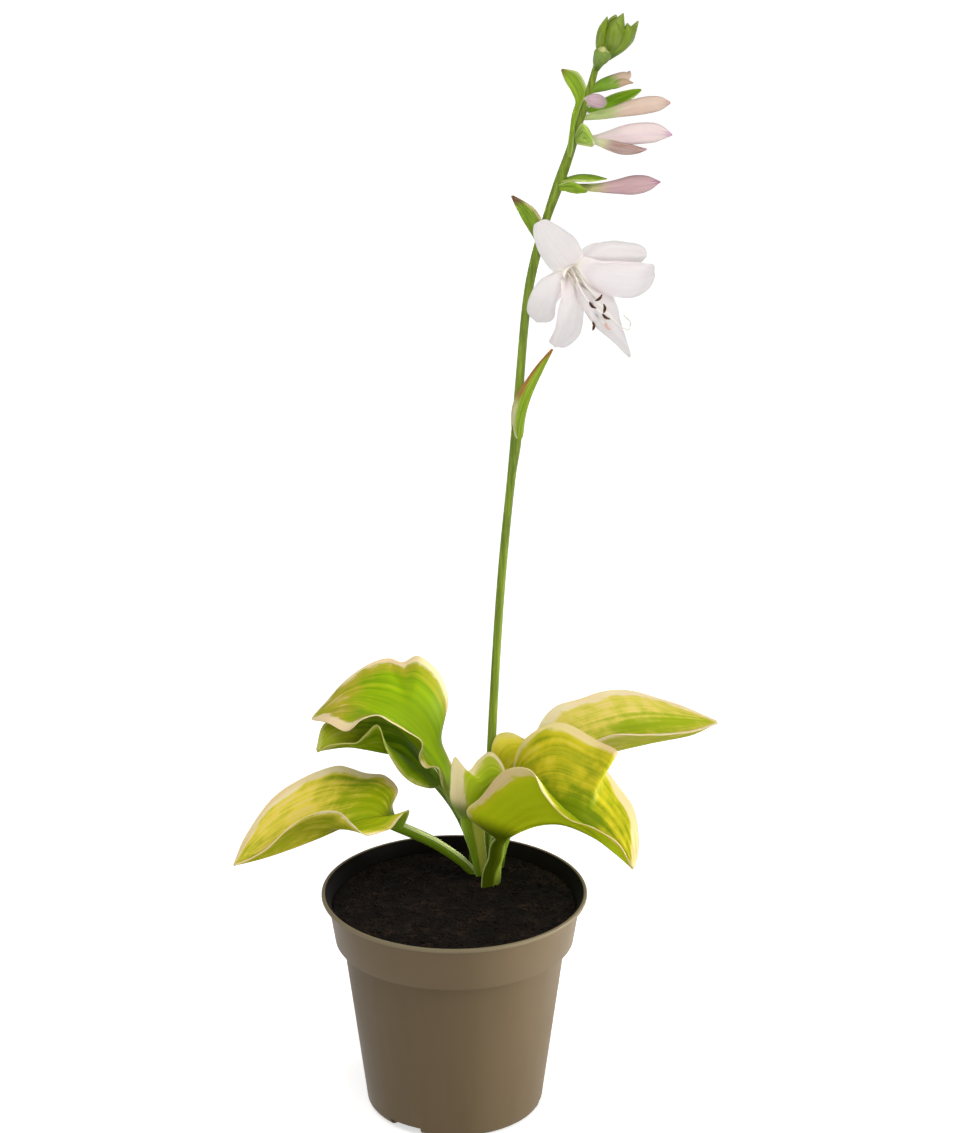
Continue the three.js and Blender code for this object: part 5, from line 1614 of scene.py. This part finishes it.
    def rooted_petals(self) -> list[SmallBlade]:
        """The petals, each rooted in the throat of the tube.

        Returns:
            The petals in their full size.
        """
        axis = self.axes()[0]
        throat = Vector(self.throat)
        rooted = []
        for petal in self.petals:
            outward = square_to(axis, Vector(petal.rib[0]) - throat)
            start = throat + outward * self.throat_radius - axis * self.root_depth
            rooted.append(replace(petal, rib=(tuple(start), *petal.rib), thickness=0.7, belly=0.3,
                                  base_half_width=3.0, tip_half_width=0.6, ripple=0.4, columns=28, rows=44))
        return rooted

    def filament(self, anther: tuple[Point, Point, float]) -> list[Ring]:
        """The route of the filament that carries an anther.

        Args:
            anther: Its middle, its direction and its compass angle in the throat.

        Returns:
            Points with a radius, from the tube to the anther.
        """
        _, sideways, upward = self.axes()
        angle = math.radians(anther[2])
        offset = sideways * math.cos(angle) + upward * math.sin(angle)
        inner = Vector(self.filament_root) + offset * self.root_spread
        start = Vector(self.throat) + offset * self.filament_spread
        tip = Vector(anther[0])
        middle = start.lerp(tip, 0.5) - Vector((0, 0, self.filament_sag))
        return [(*point, self.filament_radius) for point in (inner, start, middle, tip)]

    def build_flower(self) -> bpy.types.Object:
        """Builds the tube, petals, filaments and style as one piece.

        Returns:
            The finished piece.
        """
        bm = bmesh.new()
        add_body(bm, Roll(self.tube, sides=36, rings_per_span=10, dome=0.4, tags={"throat": 1.0},
                          hollow=self.hollow).build())
        for petal in self.rooted_petals():
            add_body(bm, petal.build())
        flower_count = len(bm.verts)
        for anther in self.anthers:
            add_body(bm, Roll(self.filament(anther), sides=10, rings_per_span=10).build())
        add_body(bm, Roll(self.style, sides=12, rings_per_span=8).build())
        tag_after(bm, "thread", flower_count)
        return place_piece("bloom_dressed", bm, self.finish.make(), Slot.PETAL, ["bloom"])

    def build_anthers(self) -> list[bpy.types.Object]:
        """Builds the six anthers, each a slightly bent spindle.

        Returns:
            The finished pieces.
        """
        ripe, unripe = self.ripe_finish.make(), self.unripe_finish.make()
        pieces = []
        for place, (middle, direction, _) in enumerate(self.anthers, start=1):
            finish = unripe if place == self.unripe_anther else ripe
            along = Vector(direction).normalized() * self.anther_length
            bend = along.cross(Vector((0, 1, 0))).normalized() * self.anther_bend
            route = [(*(Vector(middle) + along * share + bend * side), width * self.anther_radius)
                     for share, width, side in self.anther_shape]

            def grooved(turn: float, share: float) -> float:
                """The groove between the anther's two halves."""
                return 1 - 0.18 * max(0.0, math.cos(turn)) ** 8

            roll = Roll(route, sides=20, rings_per_span=7, shape=grooved)
            pieces.append(place_piece(f"anther_{place}_dressed", roll.build(), finish, Slot.ANTHER,
                                      [f"anther_{place}"]))
        return pieces

    def build(self) -> list[bpy.types.Object]:
        """Builds the flower and its anthers."""
        return [self.build_flower(), *self.build_anthers()]


def spin_profile(profile: Sequence[tuple[float, float]], steps: int) -> WorkMesh:
    """Turns a profile about the upright axis.

    Args:
        profile: Radius and height in millimetres, from one point on the axis to another.
        steps: How many steps the full turn has.

    Returns:
        The closed mesh in metres.
    """
    bm = bmesh.new()
    verts = [bm.verts.new((radius * MM, 0, height * MM)) for radius, height in profile]
    edges = [bm.edges.new(pair) for pair in zip(verts, verts[1:])]
    bmesh.ops.spin(bm, geom=verts + edges, cent=(0, 0, 0), axis=(0, 0, 1), angle=2 * math.pi, steps=steps,
                   use_merge=True)
    bmesh.ops.remove_doubles(bm, verts=bm.verts[:], dist=1e-6)
    bmesh.ops.recalc_face_normals(bm, faces=bm.faces[:])
    return bm


@dataclass
class Pot:
    """The round tapered nursery pot, its sizes in millimetres."""

    height: float = 113.5
    lip_radius: float = 65
    lip_depth: float = 2.0
    band_top_radius: float = 62
    band_foot_radius: float = 58.4
    ledge_height: float = 88.4
    body_top_radius: float = 54.5
    foot_radius: float = 43.5
    foot_round: float = 4
    wall: float = 1.4
    floor: float = 1.8
    notch_count: int = 3
    notch_width: float = 24
    notch_first: float = -124.5
    notch_height: float = 3.8
    notch_radii: tuple[float, float] = (36, 48)
    steps: int = 176
    round_steps: int = 6
    sharp_angle: float = 38
    finish: PlasticFinish = PlasticFinish()

    def profile(self) -> list[tuple[float, float]]:
        """The pot's cross-section, from the axis under the floor to the axis inside it.

        Returns:
            Pairs of a radius and a height.
        """
        lip, lip_foot, top = self.lip_radius, self.height - self.lip_depth, self.height
        band_top, band_foot, ledge = self.band_top_radius, self.band_foot_radius, self.ledge_height
        body, foot, curve = self.body_top_radius, self.foot_radius, self.foot_round
        wall, floor = self.wall, self.floor
        angles = [math.pi / 2 * k / self.round_steps for k in range(self.round_steps + 1)]
        rounding = [(foot - curve + curve * math.sin(angle), curve - curve * math.cos(angle))
                    for angle in angles]
        return [
            (0, 0), (30, 0), *rounding, (between(foot, body, 0.5), between(curve, ledge, 0.5)),
            (body - 0.2, ledge - 1.8), (body, ledge - 0.7), (body + 0.7, ledge), (band_foot - 0.6, ledge),
            (band_foot, ledge + 0.8), (band_top - 0.2, lip_foot - 1.4), (band_top + 0.4, lip_foot - 0.3),
            (lip - 0.7, lip_foot), (lip - 0.2, lip_foot + 0.2), (lip, lip_foot + 0.7), (lip, top - 0.7),
            (lip - 0.2, top - 0.2), (lip - 0.7, top), (lip - 1.4, top), (lip - 1.9, top - 0.2),
            (lip - 2.2, top - 0.8), (band_top - wall, lip_foot - 1.4), (band_foot - wall, ledge + wall),
            (body - wall, ledge + wall), (foot - wall, curve + 1), (foot - wall - 1.4, floor + 0.8),
            (foot - wall - 3.2, floor), (0, floor),
        ]

    def notch_cutter(self) -> bpy.types.Object:
        """The curved blocks that cut the drain notches.

        Returns:
            A helper object, removed once the notches are cut.
        """
        bm = bmesh.new()
        inner, outer = self.notch_radii
        for k in range(self.notch_count):
            middle = math.radians(self.notch_first + 360 / self.notch_count * k)
            half = math.radians(self.notch_width / 2)
            made = bmesh.ops.create_grid(bm, x_segments=8, y_segments=1, size=1.0)["verts"]
            for vert in made:
                angle = middle + half * vert.co.x
                radius = inner if vert.co.y < 0 else outer
                vert.co = Vector((radius * math.cos(angle), radius * math.sin(angle), -1)) * MM
        lifted = bmesh.ops.extrude_face_region(bm, geom=bm.verts[:] + bm.edges[:] + bm.faces[:],
                                               use_keep_orig=True)["geom"]
        for element in lifted:
            if isinstance(element, bmesh.types.BMVert):
                element.co.z = self.notch_height * MM
        bmesh.ops.recalc_face_normals(bm, faces=bm.faces[:])
        return set_out("notch_cutter", settle(bm, "notch_cutter"))

    def mark(self, bm: WorkMesh) -> None:
        """Tags the pot's inside, its lip, and the lines under its lip and ledge that take painted shade.

        Args:
            bm: The pot's mesh.
        """
        inside, lip, crease = (bm.verts.layers.float.new(name) for name in ("inside", "lip", "crease"))
        lip_foot = self.height - self.lip_depth
        mouth = self.lip_radius - 1.8
        for vert in bm.verts:
            facing = vert.normal.x * vert.co.x + vert.normal.y * vert.co.y
            height = vert.co.z / MM
            radius = math.hypot(vert.co.x, vert.co.y) / MM
            on_wall = facing < 0 and height < lip_foot
            on_mouth = radius < mouth and (facing < 0 or height > lip_foot)
            within = height > self.floor + 0.1 and (on_wall or on_mouth)
            # The crease tag marks where painted shade goes, under the ledge and under the lip.
            under_ledge = abs(height - self.ledge_height + 0.4) < 0.6 and radius < self.body_top_radius + 1.2
            under_lip = abs(height - lip_foot + 0.2) < 0.3 and radius < self.band_top_radius + 1
            # The inside is tagged so that it is painted near black as painted shade.
            vert[inside] = 1.0 if within or abs(height - self.floor) < 0.1 else 0.0
            vert[lip] = 1.0 if height > lip_foot + 0.1 and not within else 0.0
            vert[crease] = 1.0 if (under_ledge or under_lip) and not within else 0.0

    def build(self) -> bpy.types.Object:
        """Builds and dresses the pot.

        Returns:
            The finished piece.
        """
        blank = set_out("whole_pot", settle(spin_profile(self.profile(), self.steps), "whole_pot"))
        cutter = self.notch_cutter()
        cut = blank.modifiers.new("notches", "BOOLEAN")
        cut.operation = "DIFFERENCE"
        cut.solver = "EXACT"
        cut.object = cutter
        bpy.context.view_layer.update()
        notched = bpy.data.meshes.new_from_object(blank.evaluated_get(bpy.context.evaluated_depsgraph_get()))
        bm = bmesh.new()
        bm.from_mesh(notched)
        for helper in (blank, cutter):
            shape = helper.data
            bpy.data.objects.remove(helper)
            bpy.data.meshes.remove(shape)
        bpy.data.meshes.remove(notched)
        self.mark(bm)
        for face in bm.faces:
            face.smooth = True
        sharp = math.radians(self.sharp_angle)
        for edge in bm.edges:
            edge.smooth = len(edge.link_faces) == 2 and edge.calc_face_angle(0.0) < sharp
        return place_piece("pot_dressed", bm, self.finish.make(), Slot.POT, ["pot"])


@dataclass
class Soil:
    """The soil that fills the pot, with its crumbs and fibres, sizes in millimetres."""

    edge_level: float = 106.6
    crown_level: float = 107.5
    edge_radius: float = 59.5
    wall: tuple[tuple[float, float], ...] = (
        (38.5, 2.1), (40.3, 2.9), (41.8, 5.3), (52.8, 90.1), (56.7, 90.1))
    rings: int = 64
    steps: int = 200
    crown_radius: float = 20
    calm_radius: float = 56
    roughness: float = 0.9
    crumb_kinds: int = 8
    crumb_count: int = 2600
    crumb_sizes: tuple[float, float] = (0.35, 1.3)
    crumb_border: float = 1.2
    fibre_count: int = 40
    fibre_points: int = 4
    fibre_border: float = 6
    seed: int = 11
    finish: GrainFinish = GrainFinish(
        "soil_finish", tint(12, 9, 7), tint(50, 36, 26), scale=700.0, roughness=0.92, depth=0.7)
    crumb_finish: GrainFinish = GrainFinish(
        "crumb_finish", tint(20, 15, 11), tint(50, 38, 28), scale=900.0, roughness=0.9, depth=0.4)
    fibre_finish: GrainFinish = GrainFinish(
        "fibre_finish", tint(44, 33, 24), tint(84, 68, 52), scale=900.0, roughness=0.8, depth=0.2)

    def level(self, x: float, y: float) -> float:
        """The height of the loose surface at a place.

        Args:
            x: Millimetres to the right.
            y: Millimetres to the back.

        Returns:
            The height in millimetres.
        """
        radius = math.hypot(x, y)
        flat = between(self.crown_level, self.edge_level, smooth(self.crown_radius, self.edge_radius, radius))
        lumps = noise.fractal(Vector((x * 0.11, y * 0.11, 3.0)), 1.0, 2.1, 4)
        grit = noise.fractal(Vector((x * 0.6, y * 0.6, 9.0)), 1.0, 2.0, 3)
        calm = 1 - smooth(self.calm_radius, self.edge_radius, radius) * 0.5
        return flat + self.roughness * (lumps * 0.9 + grit * 0.55) * calm

    def pick_place(self, draw: random.Random, border: float) -> tuple[float, float]:
        """Picks a place on the surface.

        Args:
            draw: The source of random numbers.
            border: How far the place stays from the edge.

        Returns:
            Millimetres to the right and to the back.
        """
        radius = (self.edge_radius - border) * math.sqrt(draw.random())
        angle = draw.uniform(0, 2 * math.pi)
        return radius * math.cos(angle), radius * math.sin(angle)

    def build_bed(self) -> bpy.types.Object:
        """Builds the body of the soil with its loose surface.

        Returns:
            The finished piece.
        """
        surface = [(self.edge_radius * (1 - k / self.rings), self.edge_level) for k in range(self.rings + 1)]
        bm = spin_profile([(0, self.wall[0][1]), *self.wall, *surface], self.steps)
        for vert in bm.verts:
            if vert.co.z > (self.edge_level - 0.1) * MM:
                vert.co.z = self.level(vert.co.x / MM, vert.co.y / MM) * MM
        for face in bm.faces:
            face.smooth = True
        return place_piece("soil_dressed", bm, self.finish.make(), Slot.SOIL, ["soil"])

    def build_crumbs(self) -> bpy.types.Object:
        """Scatters small lumps over the surface.

        Returns:
            The finished piece.
        """
        draw = random.Random(self.seed)
        lumps = []
        for _ in range(self.crumb_kinds):
            one = bmesh.new()
            bmesh.ops.create_icosphere(one, subdivisions=1, radius=1.0)
            for vert in one.verts:
                vert.co *= draw.uniform(0.65, 1.15)
            lumps.append(settle(one, "crumb"))
        bm = bmesh.new()
        for _ in range(self.crumb_count):
            x, y = self.pick_place(draw, self.crumb_border)
            size = between(*self.crumb_sizes, draw.random() ** 2.4)
            turn = Matrix.Rotation(draw.uniform(0, 6.28), 4, (draw.random(), draw.random(), 1))
            sides = (draw.uniform(0.7, 1.2), draw.uniform(0.7, 1.2), draw.uniform(0.5, 0.9), 1)
            spot = Matrix.Translation(Vector((x, y, self.level(x, y) + size * 0.1)) * MM)
            lump = draw.choice(lumps).copy()
            lump.transform(spot @ turn @ Matrix.Diagonal(sides) @ Matrix.Scale(size * MM, 4))
            bm.from_mesh(lump)
            bpy.data.meshes.remove(lump)
        for mesh in lumps:
            bpy.data.meshes.remove(mesh)
        return place_piece("soil_crumbs", bm, self.crumb_finish.make(), Slot.SOIL)

    def build_fibres(self) -> bpy.types.Object:
        """Lays short root fibres over the surface.

        Returns:
            The finished piece.
        """
        draw = random.Random(self.seed + 1)
        bm = bmesh.new()
        for _ in range(self.fibre_count):
            x, y = self.pick_place(draw, self.fibre_border)
            heading = draw.uniform(0, 2 * math.pi)
            width = draw.uniform(0.1, 0.24)
            step = draw.uniform(0.9, 2.2)
            route = []
            for _ in range(self.fibre_points):
                route.append((x, y, self.level(x, y) + 0.35 + draw.uniform(0, 0.5), width))
                x += step * math.cos(heading)
                y += step * math.sin(heading)
                heading += draw.uniform(-0.7, 0.7)
            add_body(bm, Roll(route, sides=5, rings_per_span=3).build())
        return place_piece("soil_fibres", bm, self.fibre_finish.make(), Slot.SOIL)

    def build(self) -> list[bpy.types.Object]:
        """Builds the bed, the crumbs and the fibres."""
        return [self.build_bed(), self.build_crumbs(), self.build_fibres()]


@dataclass
class Lamp:
    """One soft lamp of the studio, sizes in metres and its spread in degrees."""

    name: str
    place: Point
    target: Point
    size: float
    power: float
    spread: float = 180.0
    mirrored: bool = True

    def build(self) -> bpy.types.Object:
        """Builds the lamp.

        Returns:
            The new object.
        """
        data = bpy.data.lights.new(self.name, "AREA")
        data.shape = "DISK"
        data.size = self.size
        data.energy = self.power
        data.spread = math.radians(self.spread)
        lamp = set_out(self.name, data)
        lamp.visible_glossy = self.mirrored
        lamp.location = self.place
        lamp.rotation_euler = (Vector(self.target) - Vector(self.place)).to_track_quat("-Z", "Y").to_euler()
        return lamp


@dataclass
class Studio:
    """The floor, the light and the camera, sizes in metres, the lens and its sensor in millimetres."""

    floor_size: float = 16.0
    floor_drop: float = 0.0003
    camera_place: Point = (0.015, -1.9807, 1.06951)
    camera_tilt: float = 68.3704
    camera_reach: float = 50.0
    lens: float = 142.5
    sensor: float = 36.0
    sky: float = 0.45
    lamps: tuple[Lamp, ...] = (
        Lamp("key", (1.5, -0.9, 1.5), (0.03, 0.0, 0.25), 0.9, 11.0),
        Lamp("top", (-0.4, -0.5, 2.2), (0.03, 0.0, 0.2), 1.4, 13.0),
        Lamp("front", (0.2, -2.2, 0.45), (0.02, 0.0, 0.25), 1.6, 16.0, mirrored=False),
        Lamp("flower", (-0.7, -1.6, 0.45), (0.045, 0.0, 0.43), 0.3, 0.1, 14.0, mirrored=False),
        Lamp("side", (1.1, 0.1, 0.06), (0.0, 0.0, 0.04), 0.5, 0.8, 20.0),
    )
    floor_finish: FloorFinish = FloorFinish()

    def build_floor(self) -> bpy.types.Object:
        """Builds the floor.

        Returns:
            The new object.
        """
        bm = bmesh.new()
        bmesh.ops.create_grid(bm, x_segments=4, y_segments=4, size=self.floor_size / 2)
        floor = set_out("floor", settle(bm, "floor"))
        floor.data.materials.append(self.floor_finish.make())
        floor.location.z = -self.floor_drop
        floor.visible_diffuse = False
        return floor

    def light_sky(self) -> None:
        """Sets a plain white surrounding light."""
        world = bpy.data.worlds.new("studio")
        world.use_nodes = True
        background = world.node_tree.nodes["Background"]
        background.inputs["Color"].default_value = (1.0, 1.0, 1.0, 1.0)
        background.inputs["Strength"].default_value = self.sky
        bpy.context.scene.world = world

    def build_camera(self) -> bpy.types.Object:
        """Builds the camera.

        Returns:
            The new object.
        """
        data = bpy.data.cameras.new("camera")
        data.lens = self.lens
        data.sensor_width = self.sensor
        data.clip_end = self.camera_reach
        camera = set_out("camera", data)
        camera.location = self.camera_place
        camera.rotation_euler = (math.radians(self.camera_tilt), 0.0, 0.0)
        bpy.context.scene.camera = camera
        return camera

    def build(self) -> None:
        """Builds the whole studio."""
        self.build_camera()
        self.build_floor()
        self.light_sky()
        for lamp in self.lamps:
            lamp.build()
        bpy.context.scene.view_settings.view_transform = "Standard"


def main() -> None:
    """Builds the plant and the studio in order."""
    logging.basicConfig(level=logging.INFO, format="%(name)s %(message)s")
    Studio().build()
    for part in (Pot(), Soil(), Foliage(), FlowerStem(), Bracts(), Buds(), TipCluster(), Bloom()):
        part.build()
        LOG.info("%s is in place", type(part).__name__)


if __name__ == "__main__":
    main()
